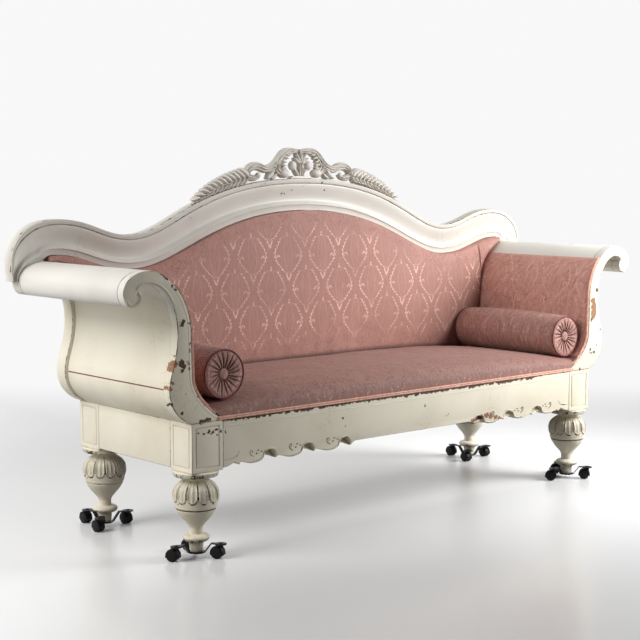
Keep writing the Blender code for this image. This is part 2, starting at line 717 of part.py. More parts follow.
def build_arms():
    pieces = {
        "arm_front_scroll": (scroll_outline(), FRONT_Y, FRONT_Y + SCROLL_THICKNESS, PAINT),
        "arm_rear_scroll": (scroll_outline(), REAR_SCROLL_Y, BACK_Y, PAINT),
        "arm_roll": (roll_outline(), ARM_FRONT_Y, ARM_REAR_Y, PAINT),
        "arm_side_panel": (panel_outline(), ARM_FRONT_Y, ARM_REAR_Y, PAINT),
        "arm_lower_board": (lower_board_outline(), ARM_FRONT_Y, ARM_REAR_Y, PAINT),
        "arm_pad": (arm_pad_outline(), ARM_FRONT_Y, ARM_REAR_Y, DAMASK),
    }
    for side, sign in SIDES.items():
        for name, (outline, low, high, material) in pieces.items():
            place(f"{name}_{side}", plate([at_arm(outline, sign)], low, high), material, smooth=30)


# Back: edges of the right half run from the middle to the tip beside the arm
BACK_END_X = HALF_LENGTH + ARM_REACH + BACK_END_LIP
BACK_TIP_Z = ARM_BASE + SCROLL_HEAD_UP
MIDDLE = (0.0, ARM_TOP + BACK_CENTRE_RISE)
DIP = (BACK_END_X - BACK_DIP_INSET, ARM_TOP + BACK_DIP_RISE)
SHOULDER = (BACK_END_X - BACK_SHOULDER_INSET, ARM_TOP + BACK_SHOULDER_RISE)


def top_edge():
    end = (BACK_END_X, ARM_TOP)
    points = trace(bend(MIDDLE, OUT, DIP, OUT, (0.66, 0.23)), 12)
    points += trace(bend(DIP, OUT, SHOULDER, OUT, (0.39, 0.47)), 7)[1:]
    points += trace(bend(SHOULDER, OUT, end, DOWN, (0.6, 0.6)), 8)[1:]
    tip = (BACK_END_X - BACK_END_LIP * 0.15, BACK_TIP_Z)
    return points + trace(bend(end, DOWN, tip, DOWN), 4)[1:]


def opening_edge():
    # The inner edge of the frame, as far as it lands on the crown of the arm.
    middle = (0.0, MIDDLE[1] - BACK_FACE)
    dip = (DIP[0], DIP[1] - BACK_FACE)
    crown = (HALF_LENGTH + ARM_CROWN_OUT, ARM_TOP + GAP)
    shoulder = (crown[0] - 0.04, SHOULDER[1] - BACK_FACE)
    points = trace(bend(middle, OUT, dip, OUT, (0.555, 0.277)), 12)
    points += trace(bend(dip, OUT, shoulder, OUT, (0.42, 0.36)), 7)[1:]
    return points + trace(bend(shoulder, OUT, crown, (sqrt(0.5), -sqrt(0.5))), 4)[1:]


def frame_section(outer, inner):
    # From the rear of the outer side, over the moulding, to the rear of the inner side.
    face = BACK_FRONT_Y
    moulding = [
        (0.0, BACK_THICKNESS),
        (0.0, BACK_FILLET),
        (0.13, BACK_FILLET),
        (0.17, BACK_FILLET * 1.8),
        (0.36, BACK_COVE * 0.85),
        (0.54, BACK_COVE),
        (0.70, BACK_COVE * 0.8),
        (0.78, BACK_FILLET * 0.5),
        (0.83, 0.0),
        (0.89, BACK_FILLET * 0.7),
        (0.90, BACK_INNER_FILLET),
        (1.0, BACK_INNER_FILLET),
        (1.0, BACK_THICKNESS),
    ]
    span = (inner[0] - outer[0], inner[1] - outer[1])
    return [(outer[0] + span[0] * s, face + d, outer[1] + span[1] * s) for s, d in moulding]


def back_frame_mesh():
    widest = (ARM_REACH, SCROLL_HEAD_UP)
    over_roll = moved_left(at_arm(trace(bend(CROWN, OUT, widest, DOWN), 8), 1), GAP)
    inner = opening_edge() + over_roll[1:]
    pairs = list(zip(top_edge(), inner))
    right = [frame_section(o, i) for o, i in pairs]
    left = [[(-x, y, z) for x, y, z in section] for section in reversed(right[1:])]
    return lofted(left + right)


def lining_outline():
    side = moved_left(seat_edge()[:-1], GAP)
    right = at_arm([(-ARM_TOE - GAP, 0.0)] + side, 1)
    top = moved_left(opening_edge(), -GAP)[:-1]
    half = right + top[:0:-1]
    return half + [top[0]] + [(-x, z) for x, z in reversed(half)]


def height_at(points, x):
    xs, zs = zip(*points)
    return float(np.interp(abs(x), xs, zs))


def arm_wall(x):
    # Height of the arm's upholstery and show-wood just outboard of a place along X.
    walls = [seat_edge(), pad_face() + trace(TO_CROWN, 6, PAD_END)[1:]]
    highest = 0.0
    for wall in walls:
        for a, b in zip(wall, wall[1:]):
            for k in range(9):
                out = a[0] + (b[0] - a[0]) * k / 8
                if HALF_LENGTH + out <= abs(x) + PAD_LOOK_AHEAD:
                    highest = max(highest, a[1] + (b[1] - a[1]) * k / 8)
    return max(SEAT_BOTTOM, ARM_BASE + highest + 2 * GAP)


def pad_columns(limit, stations):
    # Columns along half the sofa, with a close pair wherever the arm beside the pad stands upright.
    toe = HALF_LENGTH - ARM_TOE - PAD_LOOK_AHEAD - GAP
    wall = HALF_LENGTH + SEAT_NECK - ARM_LEAN - ARM_PAD_CROWN - PAD_LOOK_AHEAD - GAP
    top = wall + PAD_LOOK_AHEAD
    half = [x for x in stations if x < toe - PAD_LOOK_AHEAD] + [toe]
    half += list(np.linspace(toe + PAD_LOOK_AHEAD, wall, 6))
    if limit > top:
        half += [top + (limit - top) * share**2 for share in np.linspace(0.0, 1.0, 6)]
        half += [x for x in stations if top < x < limit]
    half = sorted(x for x in half if x < limit - GAP) + [limit]
    return [-x for x in half[:0:-1]] + half


def back_pad_mesh():
    limit = HALF_LENGTH + ARM_CROWN_OUT - BACK_PAD_EDGE
    opening = opening_edge()
    columns = pad_columns(limit, [x for x, _ in opening])
    spans = []
    for x in columns:
        spans.append((arm_wall(x), height_at(opening, x) - 2 * GAP))

    def rear(column, share):
        low, high = spans[column]
        return (columns[column], PAD_REAR_Y, low + (high - low) * share)

    def face(column, share):
        x, _, z = rear(column, share)
        across = max(0.0, 1.0 - (x / limit) ** 8)
        swell = sqrt(across * sin(pi * share))
        return (x, PAD_RIM_Y - BACK_PAD_CROWN * swell, z)

    return padded(len(columns) - 1, 6, face, rear)


def crest_outlines():
    frame = top_edge()

    def above(points, reach):
        # Places given as shares of a reach along the frame and of the crest's rise above it.
        return [(reach * x, height_at(frame, reach * x) + CREST_RISE * up) for x, up in points]

    palmette = [(0.0, 1.0), (0.09, 0.95), (0.18, 0.955), (0.24, 0.84), (0.29, 0.565)]
    scrolls = [(0.345, 0.515), (0.44, 0.59), (0.495, 0.535), (0.52, 0.435), (0.575, 0.515)]
    spray = [(0.62, 0.415), (0.77, 0.355), (0.86, 0.33), (0.93, 0.245)]
    underside = [(0.85, 0.10), (0.70, 0.11), (0.62, 0.16), (0.50, 0.08), (0.40, 0.18), (0.26, 0.11)]
    lying = [x for x, _ in frame[::-1] if CREST_SPRAY < x < CREST_SPREAD]
    lying = [CREST_SPREAD] + lying + [CREST_SPRAY]
    half = above(palmette + scrolls + spray, CREST_SPREAD)
    half += [(x, height_at(frame, x) + GAP) for x in lying]
    half += above(underside, CREST_SPRAY)
    half += [(CREST_FOOT, height_at(frame, CREST_FOOT) + GAP)]
    outer = half + [(0.0, MIDDLE[1] + GAP)] + [(-x, z) for x, z in reversed(half[1:])]
    holes = []
    for sign in (-1, 1):
        eye = (sign * CREST_EYE_X, MIDDLE[1] + CREST_EYE_UP)
        loop = (sign * CREST_LOOP_X, MIDDLE[1] + CREST_LOOP_UP)
        holes.append(ellipse(eye, CREST_EYE_WIDTH, CREST_EYE_HEIGHT, 12))
        holes.append(ellipse(loop, CREST_LOOP_WIDTH, CREST_LOOP_HEIGHT, 10))
    return [outer] + holes


def build_back():
    place("back_frame", back_frame_mesh(), PAINT, smooth=30)
    place("back_lining", plate([lining_outline()], LINING_Y, LINING_Y + LINING_THICKNESS), LINEN)
    place("back_pad", back_pad_mesh(), DAMASK, smooth=50)
    middle = (BACK_FRONT_Y + BACK_Y) / 2
    half = CREST_THICKNESS / 2
    place("crest_carving", plate(crest_outlines(), middle - half, middle + half), PAINT)


# Seat and bolsters
def seat_top(x, y):
    # Height of the crowned seat over a place on the floor.
    depth = SEAT_REAR_Y - FRONT_Y
    forward = min(1.0, (y - FRONT_Y) / SEAT_FRONT_ROLL)
    roll = sqrt(max(0.0, 1.0 - (1.0 - forward) ** 2))
    across = min(1.0, abs(x) / SEAT_END_X)
    fall = SEAT_SIDE_FALL * across**4 + SEAT_REAR_FALL * ((y - FRONT_Y) / depth) ** 3
    return SEAT_BOTTOM + SEAT_FRONT_EDGE + (SEAT_HEIGHT - SEAT_FRONT_EDGE - fall) * roll


def seat_pad_mesh():
    columns = pad_columns(SEAT_END_X, np.linspace(0.0, HALF_LENGTH, 9))
    lows = [arm_wall(x) for x in columns]
    front_share = 0.40  # of the rows go into the front roll
    roll_share = SEAT_FRONT_ROLL / (SEAT_REAR_Y - FRONT_Y)

    def along(share):
        if share <= front_share:
            return roll_share * (share / front_share) ** 1.6
        return roll_share + (1.0 - roll_share) * (share - front_share) / (1.0 - front_share)

    def under(column, share):
        y = FRONT_Y + (SEAT_REAR_Y - FRONT_Y) * along(share)
        return (columns[column], y, lows[column])

    def over(column, share):
        x, y, low = under(column, share)
        return (x, y, max(seat_top(x, y), low + 10 * GAP))

    return padded(len(columns) - 1, 8, over, under)


def webbing_mesh():
    # Two sets of straps crossing at right angles, tacked over the rails.
    half_x = INNER_X - WEBBING_INSET
    half_y = HALF_DEPTH - WEBBING_INSET

    def bands(half, count):
        pitch = (2 * half - WEBBING_STRAP) / (count - 1)
        starts = [-half + i * pitch for i in range(count)]
        return sorted(starts + [s + WEBBING_STRAP for s in starts])

    xs = bands(half_x, WEBBING_CROSS)
    ys = bands(half_y, WEBBING_LONG)
    shape = bmesh.new()
    bmesh.ops.create_grid(shape, x_segments=len(xs) - 1, y_segments=len(ys) - 1, size=1.0)
    spaces = []
    for face in shape.faces:
        centre = face.calc_center_median()
        column = int((centre.x + 1) / 2 * (len(xs) - 1))
        row = int((centre.y + 1) / 2 * (len(ys) - 1))
        if column % 2 and row % 2:
            spaces.append(face)
    for vert in shape.verts:
        column = round((vert.co.x + 1) / 2 * (len(xs) - 1))
        row = round((vert.co.y + 1) / 2 * (len(ys) - 1))
        vert.co = (xs[column], ys[row], WEBBING_TOP)
    bmesh.ops.delete(shape, geom=spaces, context="FACES")
    mesh = bpy.data.meshes.new("webbing")
    shape.to_mesh(mesh)
    shape.free()
    solid = {"thickness": WEBBING_THICKNESS, "offset": -1.0}
    return baked(mesh, None, [("SOLIDIFY", solid)])


def bolster_mesh():
    # A roll with a slightly full middle, and ends pleated into a covered button, lying along Y.
    half = BOLSTER_LENGTH / 2
    end = [
        (0.0, half),
        (BOLSTER_BUTTON, half - BOLSTER_DISH * 0.3),
        (BOLSTER_BUTTON * 1.15, half - BOLSTER_DISH),
        (BOLSTER_RADIUS * 0.62, half - BOLSTER_DISH * 0.2),
        (BOLSTER_RADIUS * 0.88, half - BOLSTER_DISH * 0.1),
        (BOLSTER_RADIUS * 0.96, half - BOLSTER_DISH),
        (BOLSTER_RADIUS, half - BOLSTER_DISH * 6),
    ]
    profile = end + [(radius, -height) for radius, height in reversed(end)]
    mesh = turned(profile, 2 * BOLSTER_PLEATS)
    for vert in mesh.vertices:
        radius = hypot(vert.co.x, vert.co.y)
        fold = round((atan2(vert.co.y, vert.co.x) / (2 * pi)) * 2 * BOLSTER_PLEATS)
        if fold % 2 and BOLSTER_RADIUS * 0.5 < radius < BOLSTER_RADIUS * 0.9:
            vert.co.z -= copysign(BOLSTER_PLEAT_DEPTH, vert.co.z)
    return tidy(mesh, Matrix.Rotation(pi / 2, 4, "X"))


def resting_height(roll, x, y, supports):
    # The lowest height at which the roll lies clear of the upholstery under it.
    def tree(mesh, shift):
        points = [vert.co + Vector(shift) for vert in mesh.vertices]
        return BVHTree.FromPolygons(points, [face.vertices for face in mesh.polygons])

    trees = [tree(mesh, (0, 0, 0)) for mesh in supports]

    def clear(z):
        here = tree(roll, (x, y, z))
        return -1 if any(here.overlap(other) for other in trees) else 1

    low = SEAT_BOTTOM + BOLSTER_RADIUS
    return solve(clear, low, low + 2 * SEAT_HEIGHT) + GAP


def build_seat():
    place("seat_webbing", webbing_mesh(), JUTE)
    seat = seat_pad_mesh()
    place("seat_pad", seat, DAMASK, smooth=50)
    y = SEAT_REAR_Y - BOLSTER_LENGTH / 2 - 10 * GAP
    bolster = bolster_mesh()
    for side, x in BOLSTER_X.items():
        z = resting_height(bolster, x, y, [seat, bpy.data.objects["arm_pad_" + side].data])
        place("bolster_" + side, bolster, DAMASK, None, (x, y, z), 0.0, 50)


def centre_on_floor():
    # Moves the whole sofa so that the middle of its box stands over the origin.
    bpy.context.view_layer.update()
    parts = [part for part in sofa.objects if part.type == "MESH"]
    ys = [(part.matrix_world @ vert.co).y for part in parts for vert in part.data.vertices]
    origin.location.y = -(min(ys) + max(ys)) / 2


build_stands()
build_base()
build_arms()
build_back()
build_seat()
centre_on_floor()
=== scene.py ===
from functools import reduce
from math import atan2, cos, hypot, pi, radians, sin, sqrt

import bmesh
import bpy
import numpy as np
from mathutils import Matrix, Vector, noise


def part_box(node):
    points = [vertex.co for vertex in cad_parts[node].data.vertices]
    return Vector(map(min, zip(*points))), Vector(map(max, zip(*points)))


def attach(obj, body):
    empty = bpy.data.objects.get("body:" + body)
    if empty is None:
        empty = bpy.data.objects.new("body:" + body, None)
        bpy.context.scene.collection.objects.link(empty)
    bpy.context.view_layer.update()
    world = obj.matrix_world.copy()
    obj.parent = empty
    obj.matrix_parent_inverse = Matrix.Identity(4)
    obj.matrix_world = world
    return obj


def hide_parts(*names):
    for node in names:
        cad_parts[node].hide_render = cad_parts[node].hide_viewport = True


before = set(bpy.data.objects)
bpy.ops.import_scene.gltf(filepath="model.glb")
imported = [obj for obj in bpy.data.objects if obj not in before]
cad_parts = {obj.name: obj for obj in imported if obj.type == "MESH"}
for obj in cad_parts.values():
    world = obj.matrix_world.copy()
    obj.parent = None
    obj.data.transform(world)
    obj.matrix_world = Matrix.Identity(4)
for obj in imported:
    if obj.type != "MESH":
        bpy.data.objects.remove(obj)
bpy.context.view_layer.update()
print("frame loaded")

# places taken from the CAD, so every piece sits where its solid is
blockLow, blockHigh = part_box("corner_block_front_left")
scrollLow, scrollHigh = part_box("arm_front_scroll_left")
rearLow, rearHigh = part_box("arm_rear_scroll_left")
padLow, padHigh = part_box("back_pad")
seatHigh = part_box("seat_pad")[1]
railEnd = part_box("front_rail")[1].x
halfLength = -blockLow.x
frontY, backY = blockLow.y, rearHigh.y
armBase, armTop = scrollLow.z, scrollHigh.z
blockTop = blockHigh.z
gap = 0.0003  # left between neighbours

up, down, out, inward = (0.0, 1.0), (0.0, -1.0), (1.0, 0.0), (-1.0, 0.0)
sides = {"left": -1, "right": 1}
corners = ["front_left", "front_right", "rear_left", "rear_right"]


# outlines: (across, up) pairs
def slope(degrees):
    return (cos(radians(degrees)), sin(radians(degrees)))


def bend(start, leave, end, arrive, pulls=(0.55, 0.55)):
    span = (end[0] - start[0], end[1] - start[1])
    first = pulls[0] * abs(span[0] * leave[0] + span[1] * leave[1])
    last = pulls[1] * abs(span[0] * arrive[0] + span[1] * arrive[1])
    p = (start, (start[0] + leave[0] * first, start[1] + leave[1] * first),
         (end[0] - arrive[0] * last, end[1] - arrive[1] * last), end)

    def at(t):
        w = ((1 - t) ** 3, 3 * t * (1 - t) ** 2, 3 * t * t * (1 - t), t ** 3)
        return tuple(sum(a * b[k] for a, b in zip(w, p)) for k in (0, 1))
    return at


def trace(curve, steps, first=0.0, last=1.0):
    return [curve(first + (last - first) * i / steps) for i in range(steps + 1)]


def chain(start, leave, *stops):
    # bends that run one into the next; each stop is a point, the direction there, steps and perhaps pulls
    points = [start]
    for end, arrive, steps, *pulls in stops:
        points += trace(bend(points[-1], leave, end, arrive, *pulls), steps)[1:]
        leave = arrive
    return points


def solve(test):
    # the share of a curve where the test turns positive
    low, high = 0.0, 1.0
    for _ in range(40):
        mid = (low + high) / 2
        low, high = (mid, high) if test(mid) < 0 else (low, mid)
    return low


def movedLeft(points, amounts):
    if not isinstance(amounts, (list, tuple)):
        amounts = [amounts] * len(points)
    moved = []
    for i, (p, d) in enumerate(zip(points, amounts)):
        a, b = points[min(i + 1, len(points) - 1)], points[max(i - 1, 0)]
        run = (a[0] - b[0], a[1] - b[1])
        size = hypot(*run) or 1.0
        moved.append((p[0] - run[1] / size * d, p[1] + run[0] / size * d))
    return moved


def lengths(points):
    # how far along the line each point lies
    return np.concatenate([[0], np.cumsum(np.linalg.norm(np.diff(np.array(points, float), axis=0), axis=1))])


def evenly(points, count):
    # the same line with its points evenly spaced
    pts, run = np.array(points, float), lengths(points)
    at = np.linspace(0, run[-1], count)
    return [tuple(np.interp(a, run, pts[:, k]) for k in range(pts.shape[1])) for a in at]


def spiral(centre, startRadius, endRadius, startAngle, turns, steps):
    points = []
    for i in range(steps + 1):
        t = i / steps
        r, a = startRadius + (endRadius - startRadius) * t, startAngle + 2 * pi * turns * t
        points.append((centre[0] + r * cos(a), centre[1] + r * sin(a)))
    return points


# meshes
def newPiece(name, data):
    piece = bpy.data.objects.new(name, data)
    bpy.context.scene.collection.objects.link(piece)
    return piece


def frozen(piece):
    # the piece's mesh with its modifiers worked in
    return bpy.data.meshes.new_from_object(piece.evaluated_get(bpy.context.evaluated_depsgraph_get()))


def meshOf(verts, faces):
    mesh = bpy.data.meshes.new("mesh")
    mesh.from_pydata([tuple(v) for v in verts], [], faces)
    mesh.validate()
    return mesh


def cleaned(mesh, matrix=None, merge=1e-5):
    if matrix is not None:
        mesh.transform(matrix)
    shape = bmesh.new()
    shape.from_mesh(mesh)
    bmesh.ops.remove_doubles(shape, verts=shape.verts, dist=merge)
    bmesh.ops.recalc_face_normals(shape, faces=shape.faces)
    shape.to_mesh(mesh)
    shape.free()
    return mesh


def joined(shapes, merge=1e-7, wearAndShade=None):
    verts, faces = [], []
    for v, f in shapes:
        faces += [tuple(k + len(verts) for k in face) for face in f]
        verts += list(v)
    mesh = meshOf(verts, faces)
    if wearAndShade:
        mark(mesh, "wearAndShade", wearAndShade)
    return cleaned(mesh, merge=merge)


def bakedMesh(data, bevel=0.0):
    helper = newPiece("helper", data)
    if bevel:
        soft = helper.modifiers.new("soft", "BEVEL")
        soft.width, soft.segments, soft.limit_method, soft.angle_limit = bevel, 3, "ANGLE", radians(35)
    mesh = frozen(helper)
    bpy.data.objects.remove(helper)
    return mesh


def sawnBoard(outline, low, high, edge):
    # a board cut to an outline in XZ, with its sharp edges rubbed round
    curve = bpy.data.curves.new("outline", "CURVE")
    curve.dimensions, curve.fill_mode = "2D", "BOTH"
    curve.extrude = (high - low) / 2 - edge
    curve.bevel_depth, curve.bevel_resolution, curve.offset = edge, 2, -edge
    spline = curve.splines.new("POLY")
    spline.points.add(len(outline) - 1)
    for corner, (x, z) in zip(spline.points, outline):
        corner.co = (x, z, 0.0, 1.0)
    spline.use_cyclic_u = True
    upright = Matrix.Translation((0, (low + high) / 2, 0)) @ Matrix.Rotation(pi / 2, 4, "X")
    return cleaned(bakedMesh(curve), upright)


def tubeFaces(rows, ring, closed=False, capped=True):
    # rings of points joined each to the next; a closed tube's last ring meets its first
    faces = []
    for i in range(rows if closed else rows - 1):
        a, b = i * ring, (i + 1) % rows * ring
        faces += [(a + k, a + (k + 1) % ring, b + (k + 1) % ring, b + k) for k in range(ring)]
    if capped and not closed:
        faces += [tuple(range(ring))[::-1], tuple(range((rows - 1) * ring, rows * ring))]
    return faces


def sweep(path, radius, ring, flat=1.0, twist=0.0, closed=False):
    # a bead along a line; radius may be a list, and a twist makes it a cord of three strands
    pts = np.array(path, float)
    n, strands = len(pts), 3
    radii = np.array(radius if isinstance(radius, list) else [radius] * n, float)
    ahead, behind = np.roll(pts, -1, 0), np.roll(pts, 1, 0)
    if not closed:
        ahead[-1], behind[0] = pts[-1], pts[0]
    tangent = ahead - behind
    tangent /= np.linalg.norm(tangent, axis=1)[:, None]
    side = np.cross(tangent, (0.0, 1.0, 0.0))
    side /= np.linalg.norm(side, axis=1)[:, None]
    other = np.cross(side, tangent)
    angle = np.linspace(0, 2 * pi, ring, endpoint=False)
    lump = np.ones((n, ring))
    if twist:
        lay = 2 * pi * lengths(pts)[:, None] / (twist * strands)
        lump = 0.86 + 0.14 * np.abs(np.cos(strands / 2 * (angle[None, :] - lay)))
    rad = radii[:, None] * lump
    verts = pts[:, None, :] + (rad * np.cos(angle))[..., None] * side[:, None, :]
    verts = verts + (rad * np.sin(angle) * flat)[..., None] * other[:, None, :]
    return list(verts.reshape(-1, 3)), tubeFaces(n, ring, closed)


def lathe(profile, segments):
    # (radius, height) pairs, top to bottom, about Z
    turns = [2 * pi * k / segments for k in range(segments)]
    verts = [(r * cos(a), r * sin(a), z) for r, z in profile for a in turns]
    return verts, tubeFaces(len(profile), segments, capped=False)


def shell(face, rear, lines, n):
    # a closed skin: two grids of so many lines with n points each, joined round the rim
    half = lines * n
    faces = []
    for i in range(lines - 1):
        for j in range(n - 1):
            a, b = i * n + j, (i + 1) * n + j
            faces += [(a, b, b + 1, a + 1), (half + a + 1, half + b + 1, half + b, half + a)]
    rim = [i * n for i in range(lines)] + [half - n + j for j in range(1, n)]
    rim += [i * n + n - 1 for i in range(lines - 2, -1, -1)] + list(range(n - 2, 0, -1))
    faces += [(b, a, half + a, half + b) for a, b in zip(rim, rim[1:] + rim[:1])]
    return list(face) + list(rear), faces


def padMesh(columns, rows, face, rear):
    # face and rear give a point for a column and a share of the way along it
    grids = [[side(i, j / rows) for i in range(columns) for j in range(rows + 1)] for side in (face, rear)]
    return shell(*grids, columns, rows + 1)


def mark(mesh, name, amount):
    # what a material reads at each point: wear with painted shade, painted shade in folds, or place on the cloth; a
    # list, or a rule for the point's place
    values = [amount(v.co) for v in mesh.vertices] if callable(amount) else amount
    values = np.array(values, np.float32)
    kind, key = ("FLOAT_VECTOR", "vector") if values.ndim > 1 else ("FLOAT", "value")
    mesh.attributes.new(name, kind, "POINT").data.foreach_set(key, values.ravel())
    return mesh


def wornEdges(mesh, boxy=False, level=lambda p: 1.0):
    # paint rubbed through along the rounded edges only
    shape = bmesh.new()
    shape.from_mesh(mesh)
    values = []
    for v in shape.verts:
        turns = [max(abs(n) for n in f.normal) if boxy else abs(f.normal.y) for f in v.link_faces]
        sloped = max(turns) < 0.985 and (boxy or min(turns) > 0.06)
        values.append(level(v.co) if sloped else 0.0)
    shape.free()
    return mark(mesh, "wearAndShade", values)


def dress(name, mesh, material, replaces=(), body="sofa", smooth=35):
    piece = newPiece(name, mesh)
    mesh.materials.clear()
    mesh.materials.append(material)
    mesh.shade_smooth()
    mesh.set_sharp_from_angle(angle=radians(smooth))
    slot = "cream_paint" if material in (paint, upperShadedPaint) else "rose_damask"
    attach(piece, body)
    if replaces:
        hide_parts(*replaces)
    return piece


# shader helpers: nodes go into the tree that was started last
class wire:
    # a node's output; + - * abs and | (the larger of two) add the maths node for it
    def __init__(self, socket):
        self.socket = socket

    def __add__(self, b):
        return maths("ADD", self, b)

    def __sub__(self, b):
        return maths("SUBTRACT", self, b)

    def __rsub__(self, a):
        return maths("SUBTRACT", a, self)

    def __mul__(self, b):
        return maths("MULTIPLY", self, b)

    def __or__(self, b):
        return maths("MAXIMUM", self, b)

    def __abs__(self):
        return maths("ABSOLUTE", self)


def startTree(owner):
    global tree
    owner.use_nodes = True
    tree = owner.node_tree
    return owner


def put(value, socket):
    if isinstance(value, wire):
        tree.links.new(value.socket, socket)
    else:
        socket.default_value = value


def add(kind, inputs=(), out=0, **settings):
    made = tree.nodes.new("ShaderNode" + kind)
    for key, value in settings.items():
        setattr(made, key, value)
    for key, value in dict(inputs).items():
        put(value, made.inputs[key])
    return wire(made.outputs[out])


def maths(operation, *values):
    return add("Math", dict(enumerate(values)), operation=operation)


def most(values):
    return reduce(lambda a, b: a | b, values)


def vectorMaths(operation, a, b):
    second, result = 3 if operation == "SCALE" else 1, 1 if operation in ("DISTANCE", "DOT_PRODUCT") else 0
    return add("VectorMath", {0: a, second: b}, result, operation=operation)


def split(vector):
    return [wire(o) for o in add("SeparateXYZ", {0: vector}).socket.node.outputs]


def ramp(value, low, high, toLow=0.0, toHigh=1.0):
    return add("MapRange", {0: value, 1: low, 2: high, 3: toLow, 4: toHigh}, interpolation_type="SMOOTHSTEP")


def mixed(factor, a, b):
    return add("Mix", {0: factor, 6: a, 7: b}, 2, data_type="RGBA")


def grain(vector, scale, detail=3.0, roughness=0.55):
    return add("TexNoise", {"Vector": vector, "Scale": scale, "Detail": detail, "Roughness": roughness})


def shaken(place, rough, amount):
    # a place pushed about by a noise's colour, so that what is drawn there has ragged edges
    push = vectorMaths("SUBTRACT", wire(rough.socket.node.outputs["Color"]), (0.5, 0.5, 0.5))
    return vectorMaths("ADD", place, vectorMaths("SCALE", push, amount))


def floatCurve(value, points):
    made = add("FloatCurve", {1: value})
    mapping = made.socket.node.mapping
    curve = mapping.curves[0]
    for i, (x, y) in enumerate(points):
        if i < 2:
            curve.points[i].location = (x, y)
        else:
            curve.points.new(x, y)
    for p in curve.points:
        p.handle_type = "AUTO_CLAMPED"
    mapping.update()
    return made


def startMaterial(name):
    return startTree(bpy.data.materials.new(name))


def coat(material, height, strength, distance, inputs):
    bump = add("Bump", {"Height": height, "Strength": strength, "Distance": distance})
    for key, value in {**inputs, "Normal": bump}.items():
        put(value, tree.nodes["Principled BSDF"].inputs[key])
    return material


def rgb(r, g, b):
    return tuple(((c / 255 + 0.055) / 1.055) ** 2.4 if c > 10 else c / 255 / 12.92 for c in (r, g, b)) + (1.0,)


# the grime colour darkens worn edges as grime, and cut lines and hollows as painted shade
# the upper colours are a greyer, darker copy of the paint, laid on the roll, frame and crest as painted shade
paintLook = {"base": (rgb(233, 226, 207), rgb(222, 213, 191)), "upperShaded": (rgb(220, 216, 208), rgb(211, 206, 196)),
             "grimeAndShade": rgb(142, 132, 112), "dark": rgb(50, 35, 25), "wood": rgb(166, 122, 90),
             "oldWood": rgb(128, 88, 60), "seam": rgb(128, 66, 50), "seamUp": 0.0965}
# knocks in the paint of the front, in mm: across, up and size; wood shows in some
knocks = {
    "paint": [
        (-881, 668, 8.5), (-884, 660, 6), (-886, 555, 12.5), (-881, 546, 8), (-887, 535, 6), (-954, 801, 7),
        (-944, 796, 6), (-934, 790, 7), (-915, 770, 5), (-903, 755, 5), (-861, 661, 4), (-858, 606, 4),
        (-860, 540, 5), (-934, 470, 6), (-921, 446, 5), (-889, 419, 5), (-826, 391, 6), (-815, 390, 7),
        (-805, 391, 7.5), (-795, 392, 6), (-784, 419, 4), (-793, 424, 4), (-815, 437, 4), (-836, 457, 4),
        (-872, 470, 3), (-833, 361, 3.5), (-815, 358, 4), (-797, 359, 5), (-782, 357, 6), (-771, 362, 5),
        (-757, 357, 4.5), (-742, 355, 4), (-770, 346, 4), (-790, 353, 3), (866, 557, 7), (860, 455, 5),
        (860, 446, 4), (870, 443, 5), (882, 442, 5), (893, 467, 4), (913, 518, 4), (892, 660, 5), (807, 391, 4),
        (148, 302, 3.5), (138, 300, 2.5), (-301, 342, 3), (-293, 317, 2.8), (44, 344, 3), (-82, 999, 3.5),
        (-72, 997, 3), (-44, 1010, 3.5), (102, 1006, 3.5), (89, 1036, 4)],
    "wood": [
        (-908, 556, 9.5), (-922, 554, 13), (-918, 545, 9), (-866, 556, 6), (-911, 580, 6), (-861, 590, 5),
        (-925, 490, 6), (-919, 505, 5), (872, 622, 13), (877, 604, 16), (878, 586, 16), (873, 568, 13),
        (264, 268, 8), (285, 272, 10), (305, 277, 10), (328, 279, 10), (350, 276, 11), (372, 268, 10),
        (392, 262, 9)]}


